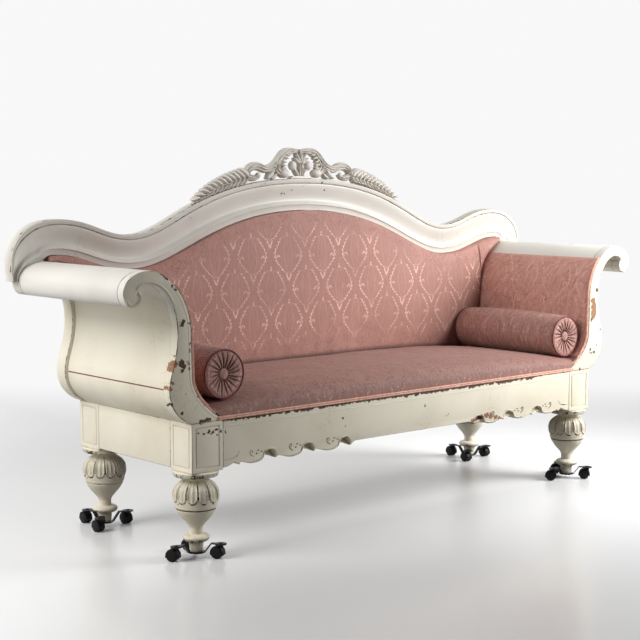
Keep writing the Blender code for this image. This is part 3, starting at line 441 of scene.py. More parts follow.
def makePaint(name, light, warm):
    # old paint over dark primer and wood
    look = paintLook
    material = startMaterial(name)
    spot = add("TexCoord", out="Object")
    cloud, fine, ragged = grain(spot, 2.6, 4.0), grain(spot, 210.0, 2.0), grain(spot, 62.0, 6.0, 0.68)
    x, y, z = split(spot)
    movedX, _, movedZ = split(shaken(spot, ragged, 0.034))
    flat = add("CombineXYZ", {0: movedX, 2: movedZ})

    def struck(spots, outer, inner):
        hits = []
        for across, high, size in spots:
            away = vectorMaths("DISTANCE", flat, (across / 1000, 0.0, high / 1000))
            hits.append(ramp(away, size / 1000 * outer, size / 1000 * inner))
        return most(hits)
    # knocks belong to the front, and the edge under the seat is worn all along
    onFront = ramp(y, frontY + 0.034, frontY + 0.030) | ramp(z, 0.95, 0.96)
    chipped = struck(knocks["paint"] + knocks["wood"], 1.0, 0.8) * onFront
    bare = struck(knocks["wood"], 1.02, 0.75) * onFront
    along = ramp(x, -0.45, 0.15, 0.80, 1.0) * ramp(x, 0.62, 0.50, 0.5, 1.0)
    inReach = ramp(abs(x), 0.752, 0.749) * ramp(y, frontY + 0.02, frontY + 0.01)
    worn = ramp(blockTop - movedZ, 0.013, 0.001) * along * (inReach * ramp(ragged, 0.2, 0.75, 0.55, 1.2))
    # rubbed edges, scattered specks and hair cracks
    wearAndShade = add("Attribute", out="Fac", attribute_name="wearAndShade")
    rubbed = ramp(wearAndShade * 0.36 + ragged, 0.905, 0.925)
    speck = ramp(fine, 0.745, 0.755) * ramp(grain(spot, 9.0), 0.50, 0.58)
    hair = ramp(abs(grain(spot, 13.0, 6.0, 0.6) - 0.5), 0.0035, 0.001)
    hair = hair * ramp(grain(spot, 5.0), 0.58, 0.66, 0.0, 0.6)
    gone = chipped | ramp(worn, 0.50, 0.55) | rubbed | speck | hair
    shade = mixed(ramp(cloud, 0.38, 0.66), light, warm)
    # grime along rubbed edges, and painted shade in cut lines, grooves and hollows, darken the paint where wear is
    # marked
    shade = mixed(wearAndShade * 0.45, shade, look["grimeAndShade"])
    # the joint between an arm's two outer boards has opened
    joint = ramp(abs(z - (armBase + look["seamUp"])), 0.0024, 0.0014) * ramp(abs(x), 0.838, 0.842)
    joint = joint * ramp(y, scrollHigh.y, scrollHigh.y + 0.004) * ramp(y, rearLow.y, rearLow.y - 0.004)
    shade = mixed(joint, shade, look["seam"])
    under = mixed(ramp(fine, 0.42, 0.68, 0.0, 0.45), look["dark"], look["wood"])
    under = mixed(bare, under, mixed(ramp(fine, 0.35, 0.7), look["wood"], look["oldWood"]))
    return coat(material, fine * 0.10 + (1.0 - (gone | joint)), 0.55, 0.0009,
                {"Base Color": mixed(gone, shade, under), "Roughness": gone * 0.35 + ramp(cloud, 0.3, 0.7, 0.36, 0.50)})


# crease is painted shade, laid into tucks and pleats
clothLook = {"ground": rgb(177, 127, 115), "pale": rgb(234, 192, 176), "deep": rgb(112, 62, 53),
             "crease": rgb(52, 24, 21), "pitch": 0.149, "drop": 0.220, "half": 0.052, "leaf": 0.0135,
             "roughness": 0.66, "ribPitch": 0.0017, "pickPitch": 0.0011}
# half-width of the medallion, and of the finial above it, going up one repeat from 0 to 1
medallion = [(0.0, 0.0), (0.17, 0.0), (0.26, 0.36), (0.34, 0.66), (0.41, 0.90), (0.48, 1.0), (0.54, 0.98),
             (0.61, 0.83), (0.67, 0.68), (0.725, 0.52), (0.755, 0.40), (0.77, 0.0), (1.0, 0.0)]
finial = [(0.0, 0.0), (0.765, 0.0), (0.775, 0.90), (0.795, 0.30), (0.815, 0.60), (0.835, 0.0), (1.0, 0.0)]


def makeDamask(name, pale, deep, streak, paintedLightTone, catch=0.0):
    # woven medallions in an offset repeat; pale, deep and catch set how they take the light on this piece, and tone
    # lightens or darkens its whole ground as painted light and shade
    look = clothLook
    pitch, drop, widest = look["pitch"], look["drop"], look["half"]
    material = startMaterial(name)
    place = add("Attribute", out="Vector", attribute_name="cloth")
    fold = add("Attribute", out="Fac", attribute_name="fold")
    u, v, _ = split(shaken(place, grain(place, 150.0, 2.0), 0.0062))
    lines = []
    for offset in (0.0, 0.5):
        p = abs(maths("WRAP", u + offset * pitch, pitch / 2, -pitch / 2))
        q = maths("WRAP", v + offset * drop, drop / 2, -drop / 2)
        share = q * (1 / drop) + 0.5
        half = floatCurve(share, medallion) * widest
        # small leaves all round the outline, thick in the middle of each
        leafy = abs(maths("SINE", maths("ARCTAN2", q, p) * (pi * widest * 1.1 / look["leaf"])))
        edge = ramp(leafy * -0.0023 + abs(p - (leafy * 0.0052 + half)), 0.0018, 0.0002)
        inner = ramp(abs(p - half * 0.34), 0.0030, 0.0010) * 0.20
        # the finial on top, the open leaf below and a curl at each side
        top = ramp(p - floatCurve(share, finial) * 0.0052, 0.0006, -0.0006)
        vee = ramp(abs(p - (share - 0.105) * (drop * 0.46)), 0.0042, 0.0018)
        vee = vee * ramp(share, 0.09, 0.11) * ramp(share, 0.225, 0.195)
        dp, dq = p - widest * 0.82, q + 0.010
        curl = ramp(abs(maths("SQRT", dp * dp + dq * dq) - 0.0066), 0.0028, 0.0012)
        lines += [(edge | inner) * ramp(half, 0.0005, 0.004), top, vee, curl * ramp(dq, -0.003, 0.001)]
    figure = most(lines) * ramp(grain(place, 230.0, 1.0), 0.36, 0.52, 0.15, 1.0)
    # fine scribbled sprigs between the medallions
    sprig = ramp(abs(grain(place, 58.0, 2.0) - 0.5), 0.036, 0.015) * ramp(grain(place, 19.0, 1.0), 0.38, 0.50)
    slub = grain(vectorMaths("MULTIPLY", place, (900.0, 45.0, 45.0)), 1.0, 2.0)
    pulled = grain(vectorMaths("MULTIPLY", place, (210.0, 17.0, 17.0)), 1.0, 3.0)
    patchy = grain(place, 7.0, 3.0)
    # the figure turns pale where the cloth faces the light, and dark elsewhere
    _, normalY, normalZ = split(add("NewGeometry", out="Normal"))
    lit = ramp(normalZ, -0.115, -0.045) * ramp(normalZ, 0.19, 0.11) * ramp(normalY, -0.90, -0.97)
    shown = (lit | catch) * ramp(patchy, 0.32, 0.58, 0.30, 1.0)
    turned = figure * (0.75 * (1 - catch) ** 2) | sprig
    ground = tuple(c * paintedLightTone for c in look["ground"][:3]) + (1.0,)
    faded = tuple(min(1.0, c * 1.16) for c in ground[:3]) + (1.0,)
    shade = mixed(ramp(patchy, 0.35, 0.7, 0.0, 0.55), ground, faded)
    # the last share paints shade into tucks and pleats where fold is marked
    for share, tint in ((ramp(slub, 0.40, 0.75, 0.0, 0.14), "pale"), (ramp(slub, 0.48, 0.25, 0.0, 0.30), "deep"),
                        (ramp(pulled, 0.50, 0.74, 0.0, streak), "pale"),
                        (ramp(pulled, 0.46, 0.26, 0.0, streak), "deep"), (figure * pale * shown, "pale"),
                        (turned * deep * (1.0 - lit), "deep"), (fold * 0.85, "crease")):
        shade = mixed(share, shade, look[tint])
    plainU, plainV, _ = split(place)
    rib, pick = (maths("SINE", a * (2 * pi / look[k])) for a, k in ((plainU, "ribPitch"), (plainV, "pickPitch")))
    return coat(material, slub * 1.5 + (figure * 1.6 + (rib * 0.5 + pick * 0.25)), 0.35, 0.0005,
                {"Base Color": shade, "Roughness": figure * -0.14 + look["roughness"],
                 "Sheen Weight": 0.08, "Sheen Roughness": 0.4})


def makeSimple(name, first, second, scale, roughness, shine=0.5):
    # two close tones in patches, with roughness and bump to match
    material = startMaterial(name)
    spot = add("TexCoord", out="Object")
    fine = grain(spot, scale * 9, 2.0)
    return coat(material, fine, 0.4, 0.0003,
                {"Base Color": mixed(ramp(grain(spot, scale, 4.0), 0.35, 0.68), first, second),
                 "Roughness": ramp(fine, 0.3, 0.7, roughness - 0.07, roughness + 0.09), "Specular IOR Level": shine})


def makeWeave(name, warp, weft, pitch):
    # plain basket weave seen from above or behind
    material = startMaterial(name)
    x, y, z = split(add("TexCoord", out="Object"))
    weave = maths("SINE", x * (2 * pi / pitch)) * maths("SINE", (y + z) * (2 * pi / pitch))
    return coat(material, weave, 0.5, 0.0008,
                {"Base Color": mixed(ramp(weave, -0.6, 0.6), warp, weft), "Roughness": 0.9})


paint = makePaint("oldCreamPaint", *paintLook["base"])
upperShadedPaint = makePaint("oldPaintShadedUpper", *paintLook["upperShaded"])
# tone is painted light and shade per piece: the arm cloth is made lighter and the seat darker than the same damask on
# the back
backCloth = makeDamask("damaskBack", 0.95, 0.38, 0.06, 0.86)
seatCloth = makeDamask("damaskSeat", 0.40, 0.66, 0.16, 0.58, 0.12)
armCloth = makeDamask("damaskArm", 0.90, 0.34, 0.50, 1.36, 0.80)
rollCloth = makeDamask("damaskBolster", 0.66, 0.42, 0.40, 0.82, 0.55)
cordCloth = makeSimple("roseCord", rgb(232, 182, 162), rgb(204, 152, 134), 90.0, 0.66)
darkCord = makeSimple("darkRoseCord", rgb(128, 50, 48), rgb(84, 34, 34), 90.0, 0.66)
blackSteel = makeSimple("blackSteel", rgb(12, 12, 13), rgb(22, 21, 21), 60.0, 0.36, 0.30)
blackPlastic = makeSimple("blackPlastic", rgb(9, 9, 10), rgb(17, 17, 17), 80.0, 0.46, 0.22)
jute = makeWeave("juteWebbing", rgb(150, 124, 88), rgb(120, 96, 64), 0.006)
linen = makeWeave("linenLining", rgb(206, 190, 166), rgb(180, 163, 138), 0.004)
print("materials made")


# the arm's two edge lines: out from the base's end, up from its top
arm = {"toe": 0.096, "toeUp": 0.010, "bulge": (0.072, 0.096), "hollowUp": 0.130, "neck": (0.043, 0.250),
       "neckWidth": 0.044, "lean": 0.003, "crown": (0.135, 0.4245), "plank": 0.036, "reach": 0.215,
       "headUp": 0.3685, "headWidth": 0.059, "headDepth": 0.095, "notch": (0.1674, 0.371), "padUp": 0.384,
       "padCrown": 0.010, "recess": 0.010, "panelThickness": 0.012, "boardThickness": 0.016,
       "scrollEdge": 0.0028, "plankEdge": 0.0010, "boardEdge": 0.0014, "bead": 0.0016, "beadInset": 0.0085,
       "voluteBead": 0.0046, "voluteInset": 0.0050}
seatNeck = arm["neck"][0] - arm["neckWidth"]
crown, notch = arm["crown"], arm["notch"]
hollowTop = (crown[0], crown[1] - arm["plank"])
toHollow = bend((-arm["toe"], arm["toeUp"]), slope(30), (seatNeck - arm["lean"], arm["hollowUp"]), up, (0.35, 0.42))
toCrown = bend((seatNeck, arm["neck"][1]), up, crown, out, (0.50, 0.50))
toBulge = bend((0.0, 0.0), slope(20), arm["bulge"], up, (0.45, 0.47))
toNeck = bend(arm["bulge"], up, arm["neck"], up, (0.29, 0.45))
toHollowTop = bend(arm["neck"], up, hollowTop, out)
toNotch = bend(hollowTop, out, notch, down)
padEnd = solve(lambda t: toCrown(t)[1] - arm["padUp"])
# the plank on top is cut square where the pad ends
cut, cutAhead = toCrown(padEnd), toCrown(padEnd + 0.01)
rollCut = solve(lambda t: sum((toHollowTop(t)[k] - cut[k]) * (cutAhead[k] - cut[k]) for k in (0, 1)))


def headEdge():
    widest = (arm["reach"], arm["headUp"])
    bottom = (arm["reach"] - arm["headWidth"] * 0.46, crown[1] - arm["headDepth"])
    inside = (arm["reach"] - arm["headWidth"], (arm["headUp"] + bottom[1]) / 2 + 0.004)
    return chain(crown, out, (widest, down, 16), (bottom, inward, 10), (inside, up, 10), (notch, out, 8))


def seatEdge(last=1.0):
    return trace(toHollow, 22) + trace(toCrown, 22, 0.0, last)


def outerEdge():
    return trace(toBulge, 16) + trace(toNeck, 16)[1:] + trace(toHollowTop, 16)[1:] + trace(toNotch, 8)[1:]


def atArm(points, sign):
    return [(sign * (halfLength + a), armBase + b) for a, b in points]


def buildArms():
    scroll = [(-arm["toe"], 0.0)] + seatEdge() + headEdge()[1:] + outerEdge()[-2::-1]
    roll = trace(toCrown, 10, padEnd) + headEdge()[1:]
    roll += (trace(toHollowTop, 10, rollCut) + trace(toNotch, 8)[1:-1])[::-1]
    edge = trace(toNeck, 16) + trace(toHollowTop, 12, 0.0, rollCut - 0.04)[1:]
    face = movedLeft(edge, arm["recess"])
    rear = movedLeft(edge, arm["recess"] + arm["panelThickness"])
    face[0], rear[0] = (face[0][0], edge[0][1] + gap), (rear[0][0], edge[0][1] + gap)
    panel = face + rear[::-1]
    edge = trace(toBulge, 18)
    face = [(0.0, 0.0)] + movedLeft(edge, [arm["recess"] * sqrt(i / 18) for i in range(19)])[1:]
    top = (face[-1][0] - arm["boardThickness"], edge[-1][1] - gap)
    face[-1] = (face[-1][0], top[1])
    board = face + chain(top, down, ((-0.024, 0.0), slope(210), 12))
    low, high = scrollHigh.y + gap, rearLow.y - gap
    pieces = {"arm_front_scroll": (scroll, frontY, scrollHigh.y, "scrollEdge"),
              "arm_rear_scroll": (scroll, rearLow.y, backY, "scrollEdge"), "arm_roll": (roll, low, high, "plankEdge"),
              "arm_side_panel": (panel, low, high, "plankEdge"), "arm_lower_board": (board, low, high, "boardEdge")}
    for side, sign in sides.items():
        for node, (outline, near, far, soft) in pieces.items():
            knocked = 1.3 if node == "arm_front_scroll" else 1.0  # round the front's hollow
            mesh = wornEdges(sawnBoard(atArm(outline, sign), near, far, arm[soft]),
                             level=lambda p: knocked if 0.395 < p.z < 0.68 and abs(p.x) > 0.815 else 1.0)
            coating = upperShadedPaint if node == "arm_roll" else paint
            piece = dress(f"{node}_{side}_wood", mesh, coating, [f"{node}_{side}"])
            if "scroll" in node:
                # the sawn edge near the top takes the roll's greyer, darker paint, as painted shade
                piece.data.materials.append(upperShadedPaint)
                for flat in piece.data.polygons:
                    flat.material_index = int(abs(flat.normal.y) < 0.7 and flat.center.z > armBase + 0.30)
        # fine raised lines on the front: beside the seat edge, and round the inside of the volute
        inner = movedLeft(seatEdge(padEnd)[1:], -arm["beadInset"])
        rim = movedLeft(trace(toHollowTop, 20, 0.35) + trace(toNotch, 8, 0.0, 0.9)[1:], arm["voluteInset"])
        hook = movedLeft(headEdge()[20:-1], -arm["voluteInset"])
        shapes = []
        for line, thick in ((inner, arm["bead"]), (rim, arm["voluteBead"]), (hook, arm["voluteBead"])):
            path = [(x, frontY + 0.0006, z) for x, z in evenly(atArm(line, sign), 110)]
            shapes.append(sweep(path, thick, 12, 0.75))
        dress(f"arm_lines_{side}", mark(joined(shapes, 1e-5), "wearAndShade", lambda p: 0.5), paint)


buildArms()
print("arms built")

# base: blocks, rails and the carved apron
base = {"frameInset": 0.018, "groove": 0.003, "blockRound": 0.0016, "round": 0.0022, "railThickness": 0.028,
        "straight": 0.118, "waves": 3, "firstWave": 0.169, "pitch": 0.144, "leaf": 0.058, "tip": 0.014,
        "drop": 0.0165, "arch": 0.015, "lobe": 0.011}


def boxMesh(low, high, bevel, framed=None):
    # framed gives the signs of the two sides with a grooved frame
    shape = bmesh.new()
    size = [b - a for a, b in zip(low, high)]
    place = Matrix.Translation([(a + b) / 2 for a, b in zip(low, high)]) @ Matrix.Diagonal((*size, 1.0))
    bmesh.ops.create_cube(shape, size=1.0, matrix=place)
    if framed:
        groove = base["groove"]
        for face in [f for f in shape.faces if f.normal.x * framed[0] > 0.9 or f.normal.y * framed[1] > 0.9]:
            for inset, depth in ((base["frameInset"], 0.0), (groove * 0.6, -groove), (groove * 0.6, groove)):
                bmesh.ops.inset_individual(shape, faces=[face], thickness=inset, depth=depth)
    mesh = bpy.data.meshes.new("box")
    shape.to_mesh(mesh)
    shape.free()
    return cleaned(bakedMesh(mesh, bevel))


def apronEdge(straight, end):
    # a leaf beside the block, then waves that each roll up into a hollow
    tip = end - base["leaf"]
    points = chain((end, straight - 0.0155), inward, ((tip + 0.016, straight - 0.0045), (-0.9, 0.35), 10, (0.5, 0.4)))
    points += [(tip, straight - base["tip"]), (tip - 0.004, straight - 0.0075)]
    curls = []
    for wave in range(base["waves"]):
        top = (end - base["firstWave"] - wave * base["pitch"], straight + base["arch"])
        belly = (top[0] + 0.064, straight - base["drop"])
        rise = (top[0] + 0.022, straight + 0.001)
        lobe = (top[0] - 0.020, straight - base["lobe"])
        points += chain(points[-1], inward, (belly, inward, 10, (0.4, 0.5)), (rise, up, 10, (0.75, 0.5)),
                        (top, inward, 6), (lobe, down, 6, (0.6, 0.5)))[1:]
        points.append((lobe[0] - 0.009, straight - 0.0060))
        curls.append((top, belly, rise, lobe))
    return points + [(points[-1][0] - 0.012, straight)], curls


def carvedLines(curl, straight):
    # the lip, curl and dots cut on one wave of the apron: line, thickness and wear; the wear also paints them dark, as
    # painted shade of cut lines
    top, belly, rise, lobe = curl
    lip = chain((belly[0] + 0.034, belly[1] + 0.0080), inward, ((belly[0], belly[1] + 0.0050), inward, 8),
                ((rise[0] + 0.0035, rise[1] + 0.001), up, 10, (0.75, 0.5)), ((top[0], top[1] + 0.0035), inward, 8),
                ((lobe[0] - 0.0035, lobe[1] + 0.008), down, 8, (0.6, 0.5)))
    nine = spiral((belly[0] + 0.004, straight + 0.0165), 0.0065, 0.0022, radians(-60), 1.05, 18)
    nine = chain((belly[0] - 0.004, straight + 0.0005), (0.6, 0.8), (nine[0], up, 6))[:-1] + nine
    lines = [(lip, 0.0024, 0.8), (nine, 0.0016, 1.3)]
    for back, rises in ((0.020, 0.018), (0.032, 0.013), (0.014, 0.009)):
        x, z = belly[0] - back, straight + rises
        lines.append(([(x + 0.003, z), (x - 0.003, z + 0.001)], 0.0019, 1.7))
    return lines


def scoop(curl, sign):
    # the hollow that a wave rolls into
    top, _, rise, lobe = curl
    rim = (rise[0] + 0.003, lobe[0] - 0.004)

    def hollow(i, share):
        t = i / 12
        x, low = rim[0] + (rim[1] - rim[0]) * t, rise[1] + (lobe[1] - rise[1]) * t + 0.0008
        return (sign * x, frontY + 0.005 + 0.017 * share ** 0.6, low + (top[1] + 0.004 - low) * share)

    def behind(i, share):
        x, _, z = hollow(i, share)
        return (x, frontY + base["railThickness"] - 0.0004, z)
    return padMesh(13, 10, hollow, behind)


def buildBase():
    for name in corners:
        low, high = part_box("corner_block_" + name)
        sx, sy = (-1 if "left" in name else 1), (-1 if "front" in name else 1)
        corner = (low.x if sx < 0 else high.x, low.y if sy < 0 else high.y)

        def level(p):
            # the outer corner is knocked most, the grooves least
            if abs(p.x - corner[0]) < 0.003 and abs(p.y - corner[1]) < 0.003:
                return 1.35
            return 0.7 if sum(min(p[k] - low[k], high[k] - p[k]) < 0.003 for k in range(3)) > 1 else 0.5
        mesh = wornEdges(boxMesh(low, high, base["blockRound"], (sx, sy)), True, level)
        dress("block_" + name, mesh, paint, ["corner_block_" + name], smooth=30)
    for node in ("rear_rail", "end_rail_left", "end_rail_right"):
        mesh = boxMesh(*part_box(node), base["round"])
        dress(node + "_wood", wornEdges(mesh, True), paint, [node])
    straight = blockTop - base["straight"]
    edge, curls = apronEdge(straight, railEnd)
    outline = [(-railEnd, blockTop), (railEnd, blockTop)] + edge + [(-x, z) for x, z in reversed(edge)]
    mesh = sawnBoard(outline, frontY, frontY + base["railThickness"], 0.0018)
    dress("front_rail_wood", wornEdges(mesh), paint, ["front_rail"])
    # carved lips and curls along the apron, the scoops they roll into, and the line under the seat
    shapes, scoops, wearAndShade = [], [], []
    leafVein = chain((railEnd - 0.004, straight + 0.005), inward,
                     ((railEnd - 0.057, straight + 0.026), (-0.35, 1.0), 14, (0.8, 0.4)))
    for sign in (-1, 1):
        lines = [(leafVein, 0.0016, 1.0)]
        for curl in curls:
            lines += carvedLines(curl, straight)
            scoops.append(scoop(curl, sign))
        for line, thick, worn in lines:
            pts = evenly([(sign * x, z) for x, z in line], 44)
            taper = [thick * (0.3 + 0.7 * sin(pi * (0.06 + 0.88 * i / 43)) ** 0.6) for i in range(44)]
            shapes.append(sweep([(x, frontY + 0.0004, z) for x, z in pts], taper, 8))
            wearAndShade += [worn] * len(shapes[-1][0])
    line = [(railEnd * (-1 + 2 * i / 120) * 0.99, frontY + 0.0006, blockTop - 0.018) for i in range(121)]
    shapes.append(sweep(line, 0.0013, 8))
    wearAndShade += [0.5] * len(shapes[-1][0])
    dress("apron_carving", joined(shapes, wearAndShade=wearAndShade), paint)
    # the scoops are painted darker and more chipped the deeper they go: painted shade in the hollows
    mesh = mark(joined(scoops, 1e-5), "wearAndShade", lambda p: min(1.0, (p.y - frontY) / 0.018))
    dress("apron_scoops", mesh, paint)


buildBase()
print("base built")

# turned feet with hanging petals: radius and height up from the floor dish
foot = {"height": 0.2304, "stub": (0.021, 0.029), "stubEnd": 0.0185, "ring": (0.038, 0.022), "waist": (0.019, 0.065),
        "bulb": (0.063, 0.156), "throat": (0.029, 0.209), "shoulder": 35, "collar": (0.0635, 0.015),
        "petals": 12, "petalTip": 0.1455, "crack": 0.1245, "holes": (67, 180, 287), "segments": 204}


def carved(r, z, a, cracked):
    # a point of the bulb: its radius with the petals cut, and how far its paint is worn
    crackAway, tipZ, top = abs(z - foot["crack"]), foot["petalTip"], foot["throat"][1] - 0.004
    if crackAway < 0.0027:
        return r - 0.0022 * (1 - crackAway / 0.0027), (1.9 if cracked else 0.9)
    for hole in foot["holes"]:
        if hypot(z - tipZ + 0.004, r * (a - radians(hole))) < 0.0024:
            return r - 0.0020, 1.9
    if not tipZ - 0.012 < z < top:
        return r, 0.0
    # across a petal: 0 in its middle, 1 between two
    across = abs((a * foot["petals"] / (2 * pi)) % 1.0 - 0.5) * 2.0
    tip = tipZ + 0.015 * (1.0 - sqrt(max(0.0, 1.0 - min(1.0, across / 0.9) ** 2)))
    fade = min(1.0, (top - z) / 0.014)
    if z < tip:
        return r - 0.0008 * fade, 1.25 if tip - z < 0.0034 else 0.1
    if across > 0.9:
        return r - 0.0030 * fade, 1.15 * fade
    inside = min((0.9 - across) * r * pi / foot["petals"], z - tip)
    rim = min(1.0, inside / 0.0022)
    dish = min(1.0, max(0.0, (inside - 0.0026) / 0.0024))
    rib = max(0.0, 1.0 - across / 0.26) * dish
    rough = noise.noise(Vector((a * r, z, 0.3)) / 0.0045)
    lift = 0.0052 * rim - 0.0028 - 0.0024 * dish + 0.0016 * rib + 0.0007 * rough
    return r + fade * lift, (0.95 if inside < 0.0016 else 0.62 + 0.45 * rough)


def buildFeet():
    h, (cr, ct), (stub, stubTop), (ring, ringTall) = (foot[k] for k in ("height", "collar", "stub", "ring"))
    edge, rim = ct * 0.28, (ring, stubTop + ringTall * 0.55)
    profile = [(0.0, h)] + chain((cr - edge, h), out, ((cr, h - edge), down, 4))
    profile += chain((cr, h - ct + edge), down, ((cr - edge, h - ct), inward, 4),
                     (foot["throat"], (-0.3, -1.0), 5, (0.7, 0.3)))
    profile += chain(foot["throat"], slope(-foot["shoulder"]), (foot["bulb"], down, 40),
                     (foot["waist"], down, 60, (0.60, 0.22)))[1:]
    profile += chain((foot["waist"][0], stubTop + ringTall), out, (rim, down, 8), ((stub, stubTop), inward, 7))
    profile += [(foot["stubEnd"], 0.004), (foot["stubEnd"] - 0.002, 0.0), (0.0, 0.0)]
    verts, faces = lathe(profile, foot["segments"])
    for name in corners:
        low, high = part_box("foot_" + name)
        cx, cy = (low.x + high.x) / 2, (low.y + high.y) / 2
        placed, wearAndShade = [], []
        for x, y, z in verts:
            r, a = hypot(x, y), atan2(y, x) % (2 * pi)
            new, worn = carved(r, z, a, "front" in name) if r > 0.012 and 0.10 < z < 0.21 else (r, 0.0)
            if abs(z - stubTop - 0.005) < 0.0055 or (h - ct - 0.001 < z < h - 0.004 and r > cr - 0.006):
                worn = 1.05
            turn = new / r if r > 1e-6 else 1.0
            placed.append((cx + x * turn, cy + y * turn, z + low.z))
            wearAndShade.append(worn)
        mesh = cleaned(mark(meshOf(placed, faces), "wearAndShade", wearAndShade))
        dress("foot_" + name + "_turned", mesh, paint, ["foot_" + name], smooth=50)


buildFeet()
print("feet built")

# back frame: a moulding run between two edge lines
back = {"centreRise": 0.2372, "dipRise": 0.0692, "shoulderRise": 0.1212, "dipInset": 0.409, "shoulderInset": 0.154,
        "lip": 0.024, "face": 0.105, "thickness": 0.0455, "fillet": 0.004, "cove": 0.015, "innerFillet": 0.007}
endX = halfLength + arm["reach"] + back["lip"]
middle = (0.0, armTop + back["centreRise"])
dip = (endX - back["dipInset"], armTop + back["dipRise"])
shoulder = (endX - back["shoulderInset"], armTop + back["shoulderRise"])
faceY = backY - back["thickness"]


def topEdge(n):
    end, tip = (endX, armTop), (endX - back["lip"] * 0.15, armBase + arm["headUp"])
    return chain(middle, out, (dip, out, 12 * n, (0.66, 0.23)), (shoulder, out, 7 * n, (0.39, 0.47)),
                 (end, down, 8 * n, (0.6, 0.6)), (tip, down, 4 * n))


def openingEdge(n):
    low = (dip[0], dip[1] - back["face"])
    land = (halfLength + crown[0], armTop + gap)
    turn = (land[0] - 0.04, shoulder[1] - back["face"])
    return chain((0.0, middle[1] - back["face"]), out, (low, out, 12 * n, (0.555, 0.277)),
                 (turn, out, 7 * n, (0.42, 0.36)), (land, slope(-45), 4 * n))


def mouldingSection():
    # share of the way from the outer edge to the inner, and depth behind the front
    f, c, i, rear = back["fillet"], back["cove"], back["innerFillet"], back["thickness"] - 0.002
    section = [(0.0, rear), (0.0, f + 0.006), (0.004, f + 0.002), (0.018, f), (0.118, f), (0.130, f + 0.0008),
               (0.137, f + 0.0042), (0.149, f + 0.0045), (0.156, f + 0.0022), (0.168, f + 0.0014)]
    section += [(0.168 + 0.49 * t, f + 0.0014 + (c - f) * (1 - cos(pi * t)) / 2) for t in np.linspace(0.06, 1.0, 14)]
    section += [(0.658 + 0.142 * t, f + 0.0014 + (c - f) * cos(pi * t / 2)) for t in np.linspace(0.1, 1.0, 9)]
    return section + [(0.806, f + 0.0003), (0.814, f), (0.824, f + 0.0010), (0.832, i - 0.0004), (0.842, i),
                      (0.985, i), (1.0, i + 0.002), (1.0, rear)]


def buildFrame():
    n = 5
    over = atArm(chain(crown, out, ((arm["reach"], arm["headUp"]), down, 8 * n)), 1)
    inner = openingEdge(n) + movedLeft(over, gap)[1:]
    section = mouldingSection()
    rows = []
    for o, i in zip(topEdge(n), inner):
        rows.append([(o[0] + (i[0] - o[0]) * s, faceY + d, o[1] + (i[1] - o[1]) * s) for s, d in section])
    rows = [[(-x, y, z) for x, y, z in row] for row in reversed(rows[1:])] + rows
    # chips along the outer edge; darker and more chipped in the groove and the inner corner
    rub = []
    for s, d in section:
        rub.append(1.0 if s < 0.012 and d < 0.02 else 0.95 if 0.13 < s < 0.16 else 0.45 if 0.827 < s < 0.85 else 0.0)
    mesh = meshOf([p for row in rows for p in row], tubeFaces(len(rows), len(section)))
    mesh = cleaned(mark(mesh, "wearAndShade", rub * len(rows)))
    dress("back_frame_moulding", mesh, upperShadedPaint, ["back_frame"], smooth=40)


buildFrame()
print("back frame built")

# carved crest: scrolls, leaves and laurel sprays cut through; out from the middle, up from the frame's top
crest = {"foot": 0.046, "laurels": 12, "sprayStart": 0.226, "sprayLength": 0.190,
         "wing": [((0.136, 0.033), (0.95, -0.2), (0.4, 0.45)), ((0.190, 0.041), (1.0, 0.0), (0.5, 0.5)),
                  ((0.226, 0.014), (-0.2, -1.0), (0.6, 0.5)), ((0.200, 0.002), (-1.0, 0.1), (0.5, 0.5)),
                  ((0.176, 0.014), (-0.2, 1.0), (0.5, 0.5))],
         "wingWidths": [(0, 0.013), (0.10, 0.022), (0.24, 0.034), (0.36, 0.028), (0.46, 0.025), (0.6, 0.028),
                        (0.8, 0.026), (1, 0.016)],
         # swelling by the foot, bud, and eye of the curl: width, height, set back
         "knobs": [(0.070, 0.0168, 0.0230, 0.0155, -0.001), (0.034, 0.043, 0.0165, 0.0165, -0.003),
                   (0.180, 0.012, 0.0095, 0.0090, -0.003)],
         # the bud's stalk, two drops, the spray's first leaf: root, tip, width, thickness, set back and hook
         "leaves": [((0.010, 0.006), (0.034, 0.034), 0.020, 0.010, 0.0, 0.25),
                    ((0.114, 0.030), (0.150, 0.000), 0.026, 0.011, -0.001, -0.15),
                    ((0.100, 0.018), (0.128, 0.000), 0.020, 0.010, 0.001, -0.15),
                    ((0.222, 0.014), (0.262, 0.020), 0.026, 0.011, -0.003, 0.2)],
         # lobes along the inside of the big leaf: root and tip
         "lobes": [((0.062, 0.080), (0.042, 0.078)), ((0.074, 0.072), (0.052, 0.066)), ((0.082, 0.060), (0.061, 0.054)),
                   ((0.084, 0.047), (0.063, 0.044)), ((0.082, 0.034), (0.061, 0.035))],
         # middle palmette: turn and length
         "palmette": [(-58, 0.034), (58, 0.034), (-30, 0.043), (30, 0.043), (0, 0.048)]}
crestY = (faceY + backY) / 2 - 0.004


def frameTop(x):
    pts = topEdge(3)
    return float(np.interp(abs(x), [p[0] for p in pts], [p[1] for p in pts]))


def sprayTop(x):
    # the laurel's stalk comes down to the frame at its far end
    return frameTop(x) + 0.0215 - 0.0135 * max(0.0, (x - crest["sprayStart"]) / crest["sprayLength"]) ** 2


